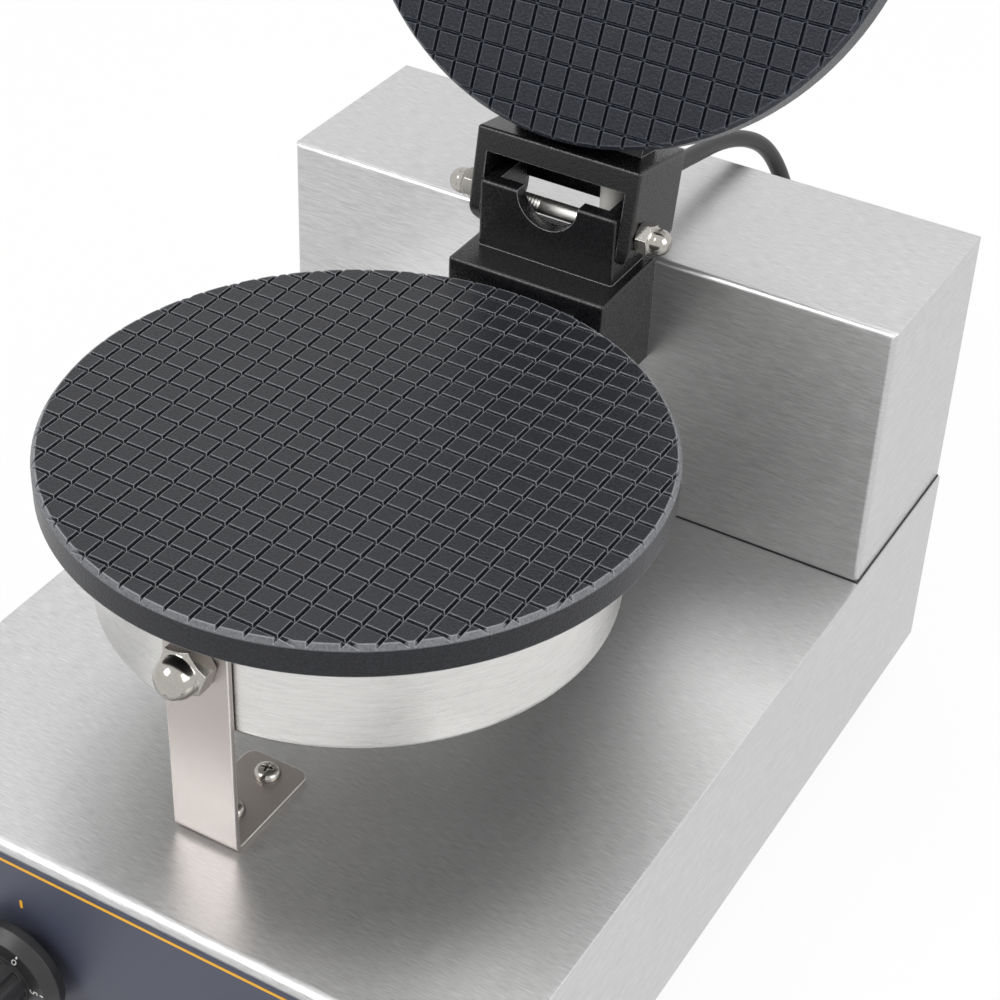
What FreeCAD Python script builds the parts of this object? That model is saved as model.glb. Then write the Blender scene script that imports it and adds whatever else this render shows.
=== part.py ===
import FreeCAD, Part
import math
import os
import re

import Sketcher
from FreeCAD import Placement, Rotation, Vector

# Countertop waffle cone maker: a folded steel base with a control panel, a rear
# tower, a fixed lower grid plate in its pan and an upper grid plate on a hinge.
# Millimetres, +Z up, front towards -Y, origin on the table under the middle of the base.
# At rest the upper plate stands open against its stop peg.

SIZES = (
    ("base_width", 250, "base, side to side"),
    ("base_depth", 350, "base, front to back"),
    ("base_height", 80, "base, without its feet"),
    ("foot_height", 16, "table to the underside of the base"),
    ("skin", 1.2, "steel sheet of base, tower and covers"),
    ("front_bend", 4, "outer radius of the bend above the control panel"),
    ("tower_bend", 2, "outer radius of the tower's folds"),
    ("tower_inset", 1.2, "tower's sides inside the base's sides"),
    ("tower_depth", 80, "tower, front to back"),
    ("tower_height", 108, "tower above the base"),
    ("base_lip", 36, "return flange round the open underside of the base"),
    ("rear_lip", 12, "return flange round the open back of the tower"),
    ("cover_inset", 4, "edge of a screwed cover inside the edge it covers"),
    ("vent_length", 90, "vent slot"),
    ("vent_width", 4, "vent slot"),
    ("vent_pitch", 10, "between vent slots"),
    ("vent_count", 6, "slots in a row"),
    ("foot_radius", 12, "rubber foot"),
    ("foot_taper", 1.5, "foot narrower at the table"),
    ("foot_inset", 24, "foot's middle from the base's sides"),
    ("stem_radius", 4, "push-in stem of a foot"),
    ("stem_length", 7, "stem above the foot"),
    ("slip", 0.1, "radial room of a stem, screw or shank in its hole"),
    ("running", 0.05, "radial room of a turning pin in its bore"),
    ("clearance", 0.3, "between pieces that pass each other"),
    ("panel_thick", 0.8, "control panel plate"),
    ("panel_inset", 3, "control panel from the base's sides"),
    ("panel_foot", 4, "control panel above the base's lower edge"),
    ("control_rise", 33, "middle of the controls above the base's lower edge"),
    ("switch_offset", -97, "power switch from the middle"),
    ("timer_offset", -47.5, "timer from the middle"),
    ("lamp_offset", 24, "heating lamp from the middle"),
    ("thermostat_offset", 84, "thermostat from the middle"),
    ("shaft_radius", 3, "control shaft"),
    ("shaft_room", 1, "radial room of a control shaft in the sheet"),
    ("shaft_depth", 10, "control shaft inside its control"),
    ("knob_radius", 19.5, "knob's dial skirt"),
    ("knob_gap", 5, "knob from the panel"),
    ("skirt_edge", 3, "straight edge of the skirt"),
    ("skirt_depth", 7, "skirt, with its slope"),
    ("skirt_slope", 3, "skirt narrower at its face"),
    ("hub_radius", 10.5, "knob's grip"),
    ("hub_length", 14, "knob's grip beyond the skirt"),
    ("hub_round", 1.5, "rounded end of the grip"),
    ("flute_radius", 2.4, "finger flute in the grip"),
    ("flute_count", 8, "flutes round the grip"),
    ("bore_depth", 14, "shaft inside the knob"),
    ("timer_width", 44, "timer case"),
    ("timer_tall", 44, "timer case"),
    ("timer_deep", 30, "timer case"),
    ("thermostat_radius", 19, "thermostat case"),
    ("thermostat_deep", 34, "thermostat case"),
    ("lamp_radius", 6, "heating lamp's barrel"),
    ("lamp_flange", 9, "lamp's bezel, radius"),
    ("lamp_face", 2.5, "bezel in front of the panel"),
    ("lamp_barrel", 22, "barrel behind the panel"),
    ("lens_radius", 5, "lamp's lens"),
    ("lens_seat", 1.5, "lens sunk in the bezel"),
    ("lens_rise", 3, "domed lens beyond the bezel"),
    ("switch_width", 22, "switch frame"),
    ("switch_tall", 32, "switch frame"),
    ("switch_face", 2.5, "switch frame in front of the panel"),
    ("switch_rim", 3, "switch frame round the rocker"),
    ("switch_deep", 24, "switch case behind the panel"),
    ("rocker_deep", 9, "hollow that the rocker tilts in"),
    ("rocker_crown", 5, "rocker's ends ahead of its pivot"),
    ("rocker_dip", 3, "rocker's middle ahead of its pivot"),
    ("rocker_tilt", 8, "rocker's lean to either side"),
    ("rocker_tail", 3, "rocker behind its pivot"),
    ("rocker_pin", 1.5, "rocker's pivot stub, radius"),
    ("terminal_width", 56, "terminal block"),
    ("terminal_deep", 22, "terminal block"),
    ("terminal_tall", 20, "terminal block"),
    ("terminal_step", 6, "terminal block's ledge"),
    ("terminal_x", 40, "terminal block from the middle"),
    ("terminal_y", 95, "terminal block behind the middle"),
    ("plate_radius", 103, "grid plate"),
    ("plate_thick", 9.5, "plate's rim"),
    ("pad_height", 1.8, "pads above the rim"),
    ("rim_run", 1.3, "slope from the rim in to the outer pads"),
    ("groove_pitch", 8.6, "between grooves"),
    ("groove_width", 1.5, "groove at the pads' tops"),
    ("groove_depth", 1.5, "groove"),
    ("grill_reach", 145, "plate's middle in front of the tower"),
    ("grill_rise", 93.4, "plate's underside above the base"),
    ("waffle_gap", 0.6, "between the pads when the lid is shut"),
    ("pan_radius", 87.6, "pan round a plate's heater"),
    ("pan_depth", 44, "pan"),
    ("pan_sheet", 1, "pan's steel"),
    ("pan_corner", 3, "pan's outer corner"),
    ("element_ring", 58, "heating element's ring"),
    ("element_radius", 4, "heating element's tube"),
    ("element_turn", 330, "heating element round the ring, degrees"),
    ("wool_thick", 24, "insulating wool in a pan"),
    ("wool_room", 5, "wool's edge from the pan's wall"),
    ("conduit_radius", 10, "wire pipe under the lower pan"),
    ("conduit_wall", 1.5, "wire pipe"),
    ("strip_width", 24, "front bracket"),
    ("strip_sheet", 2, "front bracket"),
    ("strip_bend", 3.5, "bracket's bend"),
    ("strip_foot", 41.6, "bracket's foot on the base"),
    ("strip_round", 4, "rounded corners of the foot"),
    ("strip_room", 2.4, "bracket's top below the plate"),
    ("strip_screw_near", 14, "first foot screw from the bracket's face"),
    ("strip_screw_far", 34, "second foot screw from the bracket's face"),
    ("strip_bolt_rise", 76, "pan bolt above the base"),
    ("screw_radius", 2.5, "sheet screw"),
    ("screw_length", 9, "sheet screw"),
    ("screw_head", 4.6, "pan head, radius"),
    ("screw_rise", 3.2, "pan head"),
    ("screw_round", 2.4, "pan head's edge"),
    ("pan_bolt_radius", 4, "bolt through the pan and the bracket"),
    ("pan_bolt_head", 6.5, "its head, radius"),
    ("pan_bolt_rise", 5, "its head"),
    ("big_nut_flats", 13, "cap nut on the pan bolt and the handle"),
    ("big_nut_hex", 7.5, "its hexagon"),
    ("big_nut_dome", 6.2, "its dome, radius"),
    ("big_nut_tall", 15, "its height"),
    ("cap_bore", 10, "thread inside the big cap nut"),
    ("pivot_reach", 16.3, "hinge axis in front of the tower"),
    ("pivot_rise", 125.4, "hinge axis above the base"),
    ("open_angle", 113, "lid, open from shut"),
    ("stud_radius", 3, "hinge stud"),
    ("stud_tail", 6, "stud inside each cap nut"),
    ("small_nut_flats", 10, "cap nut on the hinge stud"),
    ("small_nut_hex", 5, "its hexagon"),
    ("small_nut_dome", 4.75, "its dome, radius"),
    ("small_nut_tall", 12, "its height"),
    ("block_width", 62.6, "hinge block"),
    ("block_reach", 39.5, "hinge block in front of the tower"),
    ("block_tall", 41.5, "hinge block's lower step"),
    ("block_wall", 8, "walls round the hollow under the block"),
    ("block_roof", 4, "roof of that hollow"),
    ("ear_width", 54.2, "hinge ears, outside"),
    ("ear_reach", 25.8, "ears in front of the tower"),
    ("ear_depth", 24, "ears, front to back"),
    ("ear_tall", 26, "ears above the step"),
    ("ear_wall", 5.6, "ears and their front wall"),
    ("ear_floor", 4, "trough's floor above the step"),
    ("notch_radius", 12, "half-round notch in the front wall"),
    ("casting_round", 1.2, "edges of the hinge castings"),
    ("peg_radius", 4.7, "stop peg"),
    ("peg_offset", 16.4, "stop peg right of the middle"),
    ("peg_back", 9, "stop peg behind the hinge axis"),
    ("bolt_radius", 3, "hinge and plate bolts"),
    ("bolt_head", 5, "bolt head, radius"),
    ("bolt_rise", 6, "bolt head"),
    ("bolt_grip", 12, "bolt's thread in what it holds"),
    ("tower_bolt_spread", 18, "bolts of the block to the tower, from the middle"),
    ("tower_bolt_drop", 24, "those bolts below the tower's top"),
    ("plate_bolt_spread", 14, "bolts of the block to the plate, from the middle"),
    ("heel_width", 40, "flat heel of the lower plate against the block"),
    ("heel_tall", 7.6, "that heel, lower than the rim"),
    ("arm_thick", 4.8, "yoke's arms"),
    ("yoke_top", 25, "yoke's front end from the hinge axis"),
    ("yoke_slab", 8.5, "yoke's cross slab"),
    ("yoke_under", 7.8, "yoke below the hinge axis, lid shut"),
    ("yoke_over", 28.3, "yoke above the hinge axis, lid shut"),
    ("yoke_tail", 11.5, "arms behind the hinge axis, lid shut"),
    ("yoke_tilt", 13, "yoke leans against the plate, degrees"),
    ("yoke_corner", 7, "rounded ends of the arms"),
    ("bridge_thick", 8, "rear bridge between the arms"),
    ("bridge_low", 1, "bridge's lower edge from the hinge axis"),
    ("lug_width", 50, "lug from the yoke over the plate"),
    ("lug_floor", 1, "lug's underside above the hinge axis, lid shut"),
    ("lug_tall", 11, "lug"),
    ("lug_root", 21, "lug's root from the hinge axis"),
    ("lug_room", 1.2, "lug's end from the pan"),
    ("boss_radius", 6.5, "lug's bosses on the plate"),
    ("boss_spread", 16, "bosses from the middle"),
    ("boss_back", 9.6, "bosses in from the plate's edge"),
    ("paddle_width", 26, "handle's foot on the plate"),
    ("paddle_thick", 4, "handle's foot"),
    ("paddle_room", 1.5, "handle's foot from the pan"),
    ("paddle_overhang", 6, "handle's foot past the plate's edge"),
    ("handle_screw_spread", 7.5, "handle screws from the middle"),
    ("handle_screw_back", 7, "handle screws in from the plate's edge"),
    ("handle_screw_length", 10, "handle screws"),
    ("grip_gap", 4, "handle's foot to its grip"),
    ("grip_length", 72, "handle grip"),
    ("grip_end", 9.5, "grip's end, radius"),
    ("grip_belly", 12.5, "grip's middle, radius"),
    ("grip_round", 4, "rounded ends of the grip"),
    ("gland_thread", 5.5, "cable gland's thread, radius"),
    ("gland_inside", 6, "thread behind the wall"),
    ("gland_flange", 7.5, "gland's collar, radius"),
    ("gland_collar", 4, "gland's collar"),
    ("gland_nose", 4.6, "gland's nose, radius"),
    ("gland_length", 10, "gland outside the wall"),
    ("lead_radius", 3.25, "upper plate's lead"),
    ("lead_offset", 18, "lead's gland on the yoke, from the middle"),
    ("lead_up", 8.5, "that gland from the hinge axis, towards the plate"),
    ("lead_entry", 34, "lead's gland on the base, from the middle"),
    ("lead_rise", 40, "that gland above the base's lower edge"),
    ("lead_straight", 16.9, "lead's straight run out of each gland"),
    ("mains_entry", -60, "mains gland, from the middle"),
    ("mains_bore", 4, "mains gland's open bore, radius"),
)

# Places worked out from the sizes, one formula each.
PLACES = (
    ("front_y", "-base_depth / 2"),
    ("rear_y", "base_depth / 2"),
    ("deck_z", "foot_height + base_height"),
    ("tower_z", "deck_z + tower_height"),
    ("tower_width", "base_width - 2 * tower_inset"),
    ("tower_y", "rear_y - tower_depth"),
    ("control_z", "foot_height + control_rise"),
    ("panel_y", "front_y - panel_thick"),
    ("grill_y", "tower_y - grill_reach"),
    ("plate_z", "deck_z + grill_rise"),
    ("pads_z", "plate_z + plate_thick + pad_height"),
    ("pan_z", "plate_z - pan_depth"),
    ("groove_half", "floor((plate_radius - groove_pitch / 2) / groove_pitch)"),
    ("strip_y", "grill_y - pan_radius - strip_sheet"),
    ("block_y", "tower_y - block_reach"),
    ("block_z", "tower_z - block_tall"),
    ("ear_y", "tower_y - ear_reach"),
    ("ear_z", "tower_z + ear_tall"),
    ("pivot_y", "tower_y - pivot_reach"),
    ("pivot_z", "deck_z + pivot_rise"),
    ("lid_angle", "-open_angle"),
    ("yoke_angle", "yoke_tilt - open_angle"),
    ("lid_reach", "grill_reach - pivot_reach"),
    ("lid_pads", "pads_z + waffle_gap - pivot_z"),
    ("lid_back", "lid_pads + pad_height + plate_thick"),
    ("lid_rear", "plate_radius - lid_reach"),
    ("lid_front", "-plate_radius - lid_reach"),
    ("arm_inside", "ear_width / 2 + clearance"),
    ("arm_outside", "arm_inside + arm_thick"),
    ("slab_under", "yoke_top - yoke_slab"),
    ("peg_top", "(slab_under - clearance + (peg_back + peg_radius) * cos(yoke_angle)) / sin(-yoke_angle)"),
    ("grip_start", "lid_front - paddle_overhang - grip_gap"),
    ("handle_z", "lid_back + paddle_thick / 2 + pan_bolt_radius / 2"),
)

# The upper plate's lead between its two glands, as points chosen along its hang.
LEAD_POINTS = (
    (18.9, 151.3, 217.6),
    (19.7, 168.0, 215.1),
    (22.7, 184.1, 210.7),
    (26.5, 198.1, 202.1),
    (30.4, 206.8, 188.2),
    (34.4, 210.5, 172.2),
    (41.4, 212.9, 157.0),
    (51.2, 214.7, 143.3),
    (60.9, 215.8, 129.5),
    (67.8, 216.8, 114.1),
    (70.8, 217.6, 97.5),
    (68.7, 218.2, 80.7),
    (60.6, 218.0, 66.1),
    (45.2, 214.4, 57.0),
)
ARC_SHARE = 0.45

doc = FreeCAD.newDocument("waffle_cone_maker")
sheet = doc.addObject("Spreadsheet::Sheet", "Sizes")
places = doc.addObject("Spreadsheet::Sheet", "Places")
owner = {}
subparts = []


def full(formula):
    """Formula with every size and place written as its sheet's cell."""
    def cell(match):
        word = match.group(0)
        return owner[word] + "." + word if word in owner else word
    return re.sub(r"[a-z_]+", cell, formula)


def value(formula):
    """Number that a formula gives now."""
    return float(sheet.evalExpression(full(formula)))


def fill_sheets():
    """Write the driving sizes, then the places that follow from them."""
    for row, (name, size, note) in enumerate(SIZES, 1):
        sheet.set("A%d" % row, note)
        sheet.set("B%d" % row, str(size))
        sheet.setAlias("B%d" % row, name)
        owner[name] = "Sizes"
    doc.recompute()
    for row, (name, formula) in enumerate(PLACES, 1):
        places.set("B%d" % row, "=" + full(formula))
        places.setAlias("B%d" % row, name)
        owner[name] = "Places"
        doc.recompute()


def bind(thing, **formulas):
    """Tie properties of a document object to formulas."""
    for name, formula in formulas.items():
        thing.setExpression(name, full(formula))


def stand(thing, at=("0", "0", "0"), turn="0", frame=None, across=False):
    """Place an object: base frame, or the lid's or yoke's frame at the hinge axis.

    The turn is about X, in degrees; across lays the object's own Z along +X instead.
    """
    east, north, up = at
    lean = frame + "_angle" if frame else "0"
    if frame:
        north, up = (
            "pivot_y + (%s) * cos(%s) - (%s) * sin(%s)" % (north, lean, up, lean),
            "pivot_z + (%s) * sin(%s) + (%s) * cos(%s)" % (north, lean, up, lean),
        )
    axis = Vector(0, 1, 0) if across else Vector(1, 0, 0)
    thing.Placement = Placement(Vector(), Rotation(axis, 90))
    for name, formula in (("x", east), ("y", north), ("z", up)):
        thing.setExpression("Placement.Base." + name, full(formula))
    angle = turn if across else "%s + %s" % (lean, turn)
    thing.setExpression("Placement.Rotation.Angle", full(angle))
    return thing


def new_body(name):
    """Empty body that will be one sub-part."""
    return doc.addObject("PartDesign::Body", name)


def sketch_on(body, name, role, offset="0"):
    """Sketch on one of the body's own planes, moved along that plane's normal."""
    sketch = body.newObject("Sketcher::SketchObject", name)
    plane = [one for one in body.Origin.OriginFeatures if one.Role == role][0]
    sketch.AttachmentSupport = [(plane, "")]
    sketch.MapMode = "FlatFace"
    sketch.setExpression("AttachmentOffset.Base.z", full(offset))
    return sketch


def hold(sketch, geometry, point, across, up):
    """Pin a sketch point at two formulas."""
    for kind, formula in (("DistanceX", across), ("DistanceY", up)):
        row = sketch.addConstraint(Sketcher.Constraint(kind, -1, 1, geometry, point, value(formula)))
        sketch.setExpression("Constraints[%d]" % row, full(formula))


def polygon(sketch, corners):
    """Closed outline of straight sides through corners given as formulas."""
    spots = [Vector(value(across), value(up), 0) for across, up in corners]
    count = len(spots)
    first = sketch.GeometryCount
    for side in range(count):
        sketch.addGeometry(Part.LineSegment(spots[side], spots[(side + 1) % count]), False)
    for side in range(count):
        after = first + (side + 1) % count
        sketch.addConstraint(Sketcher.Constraint("Coincident", first + side, 2, after, 1))
    for side, (across, up) in enumerate(corners):
        hold(sketch, first + side, 1, across, up)
    return sketch


def rectangle(sketch, left, right, low, high):
    """Upright rectangle between formulas."""
    return polygon(sketch, ((left, low), (right, low), (right, high), (left, high)))


def circle(sketch, across, up, radius):
    """Circle with its centre and radius given as formulas."""
    round_one = Part.Circle(Vector(value(across), value(up), 0), Vector(0, 0, 1), value(radius))
    index = sketch.addGeometry(round_one, False)
    hold(sketch, index, 3, across, up)
    row = sketch.addConstraint(Sketcher.Constraint("Radius", index, value(radius)))
    sketch.setExpression("Constraints[%d]" % row, full(radius))
    return sketch


def pad(body, sketch, length, both=False, back=False):
    """Solid pushed out of a sketch: along its normal, against it, or to both sides."""
    feature = body.newObject("PartDesign::Pad", sketch.Name + "_pad")
    feature.Profile = sketch
    feature.Midplane = both
    feature.Reversed = back
    bind(feature, Length=length)
    doc.recompute()
    return feature


def pocket(body, sketch, length):
    """Cut by the same length to both sides of a sketch; it has to take material away."""
    before = body.Shape.Volume
    feature = body.newObject("PartDesign::Pocket", sketch.Name + "_cut")
    feature.Profile = sketch
    feature.Midplane = True
    bind(feature, Length="2 * (%s)" % length)
    doc.recompute()
    if feature.Shape.Volume > before - 1e-3:
        raise RuntimeError(body.Name + ": " + sketch.Name + " cuts nothing")
    return feature


def revolve(body, sketch):
    """Solid of a sketch turned about its own upright axis."""
    feature = body.newObject("PartDesign::Revolution", sketch.Name + "_turned")
    feature.Profile = sketch
    feature.ReferenceAxis = (sketch, ["V_Axis"])
    feature.Angle = 360
    doc.recompute()
    return feature


def turned(name, corners):
    """Body whose half section is turned about its own Z axis."""
    body = new_body(name)
    revolve(body, polygon(sketch_on(body, name + "_section", "XZ_Plane"), corners))
    return body


def repeat(body, feature, direction, length, count):
    """Row of a feature along a direction, given as a sketch and one of its axes."""
    row = body.newObject("PartDesign::LinearPattern", feature.Name + "_row")
    row.Originals = [feature]
    row.Direction = direction
    bind(row, Length=length, Occurrences=count)
    body.Tip = row
    doc.recompute()
    return row


def soften(body, radius, wanted):
    """Round the edges of a body's present shape that a test picks out."""
    last = body.Tip
    edges = ["Edge%d" % number for number, edge in enumerate(last.Shape.Edges, 1) if wanted(edge)]
    if not edges:
        raise RuntimeError(body.Name + ": no edge to round")
    feature = body.newObject("PartDesign::Fillet", body.Name + "_round")
    feature.Base = (last, edges)
    bind(feature, Radius=radius)
    doc.recompute()
    return feature


def near(number, formula):
    """Whether a number is where a formula says."""
    return abs(number - value(formula)) < 1e-4


def lies(edge, x=None, y=None, z=None):
    """Whether an edge lies wholly at the given places."""
    box = edge.BoundBox
    tests = ((x, box.XMin, box.XMax), (y, box.YMin, box.YMax), (z, box.ZMin, box.ZMax))
    return all(near(low, want) and near(high, want) for want, low, high in tests if want is not None)


def rod(name, radius, length, at, turn="0", frame=None, across=False):
    """Plain round bar from a point along its own Z, turned as stand says."""
    bar = doc.addObject("Part::Cylinder", name)
    bind(bar, Radius=radius, Height=length)
    return stand(bar, at, turn, frame, across)


def keep(thing):
    """Count an object as a finished sub-part under its own name."""
    thing.Label = thing.Name
    subparts.append(thing)
    return thing


def side_holes(sketch):
    """Openings that the front sheet and the control panel share."""
    for offset in ("timer_offset", "thermostat_offset"):
        circle(sketch, offset, "control_z", "shaft_radius + shaft_room")
    circle(sketch, "lamp_offset", "control_z", "lamp_radius + slip")
    rectangle(
        sketch,
        "switch_offset - switch_width / 2 + switch_rim - slip",
        "switch_offset + switch_width / 2 - switch_rim + slip",
        "control_z - switch_tall / 2 + switch_rim - slip",
        "control_z + switch_tall / 2 - switch_rim + slip",
    )
    return sketch


def foot_spots():
    """Middles of the four feet, as formulas."""
    reach_x = "(base_width / 2 - foot_inset)"
    reach_y = "(base_depth / 2 - foot_inset)"
    return [(sx + reach_x, sy + reach_y) for sx in ("-", "") for sy in ("-", "")]


def base_shell():
    """Folded base: deck, four sides and a return flange round the open underside."""
    body = new_body("base_shell")
    outer = sketch_on(body, "base_outer", "YZ_Plane")
    rectangle(outer, "front_y", "rear_y", "foot_height", "deck_z")
    pad(body, outer, "base_width", both=True)
    soften(body, "front_bend", lambda edge: lies(edge, y="front_y", z="deck_z"))
    inner = sketch_on(body, "base_inner", "YZ_Plane")
    polygon(inner, (
        ("front_y + skin", "foot_height + skin"),
        ("rear_y - skin", "foot_height + skin"),
        ("rear_y - skin", "deck_z - skin"),
        ("front_y + front_bend", "deck_z - skin"),
        ("front_y + skin", "deck_z - front_bend"),
    ))
    pocket(body, inner, "base_width / 2 - skin")
    under = sketch_on(body, "base_under", "XY_Plane", "foot_height")
    rectangle(
        under, "base_lip - base_width / 2", "base_width / 2 - base_lip", "front_y + base_lip", "rear_y - base_lip"
    )
    for across, back in foot_spots():
        circle(under, across, back, "stem_radius + slip")
    pocket(body, under, "2 * skin")
    deck = sketch_on(body, "deck_holes", "XY_Plane", "deck_z")
    circle(deck, "0", "grill_y", "conduit_radius - conduit_wall")
    for back in ("strip_screw_near", "strip_screw_far"):
        circle(deck, "0", "strip_y + " + back, "screw_radius + slip")
    rectangle(
        deck, "rear_lip - base_width / 4", "base_width / 4 - rear_lip", "tower_y + 2 * rear_lip", "rear_y - 2 * rear_lip"
    )
    pocket(body, deck, "2 * skin")
    pocket(body, side_holes(sketch_on(body, "front_holes", "XZ_Plane", "-front_y")), "2 * skin")
    back = sketch_on(body, "back_holes", "XZ_Plane", "-rear_y")
    for across in ("mains_entry", "lead_entry"):
        circle(back, across, "foot_height + lead_rise", "gland_thread + slip")
    pocket(body, back, "2 * skin")
    return keep(body)


def vent_row(body, name, role, offset, low):
    """Row of slots in a cover, one above or behind the other."""
    slot = sketch_on(body, name, role, offset)
    rectangle(slot, "-vent_length / 2", "vent_length / 2", low, low + " + vent_width")
    cut = pocket(body, slot, "2 * skin")
    repeat(body, cut, (slot, ["V_Axis"]), "vent_pitch * (vent_count - 1)", "vent_count")


def bottom_cover():
    """Sheet under the base, vented, held by the feet's stems."""
    body = new_body("bottom_cover")
    plate = sketch_on(body, "bottom_plate", "XY_Plane", "foot_height - skin")
    rectangle(
        plate, "cover_inset - base_width / 2", "base_width / 2 - cover_inset",
        "front_y + cover_inset", "rear_y - cover_inset",
    )
    for across, back in foot_spots():
        circle(plate, across, back, "stem_radius + slip")
    pad(body, plate, "skin")
    vent_row(body, "bottom_vent", "XY_Plane", "foot_height", "front_y + 2 * base_lip")
    return keep(body)


def feet():
    """Four tapered rubber feet, each with a stem through the cover and the flange."""
    for number, (across, back) in enumerate(foot_spots(), 1):
        foot = turned("foot_%d" % number, (
            ("0", "0"),
            ("foot_radius - foot_taper", "0"),
            ("foot_radius", "foot_height - skin"),
            ("stem_radius", "foot_height - skin"),
            ("stem_radius", "foot_height - skin + stem_length"),
            ("0", "foot_height - skin + stem_length"),
        ))
        keep(stand(foot, (across, back, "0")))


def rear_screw_spots():
    """Four screws near the corners of the tower's rear panel."""
    reach = "(tower_width / 2 - rear_lip / 2 - skin)"
    levels = ("deck_z + rear_lip / 2 + skin", "tower_z - rear_lip / 2 - skin")
    return [(side + reach, level) for side in ("-", "") for level in levels]


def tower_shell():
    """Folded tower: front, top and sides in one sheet, with a flange round its open back."""
    body = new_body("tower_shell")
    outer = sketch_on(body, "tower_outer", "YZ_Plane")
    rectangle(outer, "tower_y", "rear_y", "deck_z", "tower_z")
    pad(body, outer, "tower_width", both=True)
    soften(body, "tower_bend", lambda edge: (
        lies(edge, y="tower_y", z="tower_z")
        or lies(edge, x="tower_width / 2", y="tower_y")
        or lies(edge, x="-tower_width / 2", y="tower_y")
    ))
    inner = sketch_on(body, "tower_inner", "YZ_Plane")
    rectangle(inner, "tower_y + skin", "rear_y - skin", "deck_z - skin", "tower_z - skin")
    pocket(body, inner, "tower_width / 2 - skin")
    opening = sketch_on(body, "tower_back", "XZ_Plane", "-rear_y")
    rectangle(
        opening, "rear_lip + skin - tower_width / 2", "tower_width / 2 - rear_lip - skin",
        "deck_z + rear_lip + skin", "tower_z - rear_lip - skin",
    )
    for across, up in rear_screw_spots():
        circle(opening, across, up, "screw_radius + slip")
    pocket(body, opening, "2 * skin")
    front = sketch_on(body, "tower_bolt_holes", "XZ_Plane", "-tower_y")
    for side in ("-", ""):
        circle(front, side + "tower_bolt_spread", "tower_z - tower_bolt_drop", "bolt_radius + slip")
    pocket(body, front, "2 * skin")
    return keep(body)


def rear_panel():
    """Screwed cover over the tower's open back, with vent slots."""
    body = new_body("rear_panel")
    plate = sketch_on(body, "rear_plate", "XZ_Plane", "-rear_y")
    rectangle(
        plate, "skin - tower_width / 2 + skin", "tower_width / 2 - 2 * skin", "deck_z + 2 * skin", "tower_z - 2 * skin"
    )
    for across, up in rear_screw_spots():
        circle(plate, across, up, "screw_radius + slip")
    pad(body, plate, "skin", back=True)
    vent_row(body, "rear_vent", "XZ_Plane", "-rear_y", "deck_z + 2 * rear_lip")
    return keep(body)


def pan_screw(name, at, length, turn="0", frame=None):
    """Pan-head screw whose head sits at the given point, its shank behind the head."""
    body = turned(name, (
        ("0", "-(%s)" % length),
        ("screw_radius", "-(%s)" % length),
        ("screw_radius", "0"),
        ("screw_head", "0"),
        ("screw_head", "screw_rise"),
        ("0", "screw_rise"),
    ))
    soften(body, "screw_round", lambda edge: lies(edge, z="screw_rise"))
    return keep(stand(body, at, turn, frame))


def rear_screws():
    """Screws through the rear panel into the tower's flange."""
    for number, (across, up) in enumerate(rear_screw_spots(), 1):
        pan_screw("rear_screw_%d" % number, (across, "rear_y + skin", up), "screw_length", "-90")


def control_panel():
    """Thin plate over the front of the base, below the bend."""
    body = new_body("control_panel")
    plate = sketch_on(body, "panel_plate", "XZ_Plane", "-front_y")
    rectangle(
        plate, "panel_inset - base_width / 2", "base_width / 2 - panel_inset",
        "foot_height + panel_foot", "deck_z - front_bend",
    )
    pad(body, side_holes(plate), "panel_thick")
    return keep(body)


def control_case(name, offset, section):
    """Control behind the front sheet, with a blind bore for its shaft; section draws its outline."""
    body = new_body(name)
    outline = sketch_on(body, name + "_case", "XZ_Plane", "-front_y - skin")
    section(outline)
    depth = name + "_deep"
    pad(body, outline, depth, back=True)
    bore = sketch_on(body, name + "_bore", "XZ_Plane", "-front_y - skin")
    circle(bore, offset, "control_z", "shaft_radius + running")
    pocket(body, bore, "shaft_depth + clearance")
    return keep(body)


def knob(name, offset):
    """Dial knob: a sloped skirt and a fluted grip with a blind bore for the shaft."""
    body = turned(name, (
        ("0", "knob_gap"),
        ("knob_radius", "knob_gap"),
        ("knob_radius", "knob_gap + skirt_edge"),
        ("knob_radius - skirt_slope", "knob_gap + skirt_depth"),
        ("hub_radius", "knob_gap + skirt_depth"),
        ("hub_radius", "knob_gap + skirt_depth + hub_length"),
        ("0", "knob_gap + skirt_depth + hub_length"),
    ))
    soften(body, "hub_round", lambda edge: lies(edge, z="knob_gap + skirt_depth + hub_length"))
    flute = sketch_on(body, name + "_flute", "XY_Plane", "knob_gap + skirt_depth + hub_length")
    circle(flute, "hub_radius + flute_radius / 2", "0", "flute_radius")
    cut = pocket(body, flute, "hub_length - hub_round")
    ring = body.newObject("PartDesign::PolarPattern", name + "_flutes")
    ring.Originals = [cut]
    ring.Axis = (flute, ["N_Axis"])
    ring.Angle = 360
    bind(ring, Occurrences="flute_count")
    body.Tip = ring
    doc.recompute()
    bore = sketch_on(body, name + "_bore", "XY_Plane", "knob_gap")
    circle(bore, "0", "0", "shaft_radius + running")
    pocket(body, bore, "bore_depth")
    return keep(stand(body, (offset, "panel_y", "control_z"), "90"))


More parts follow.
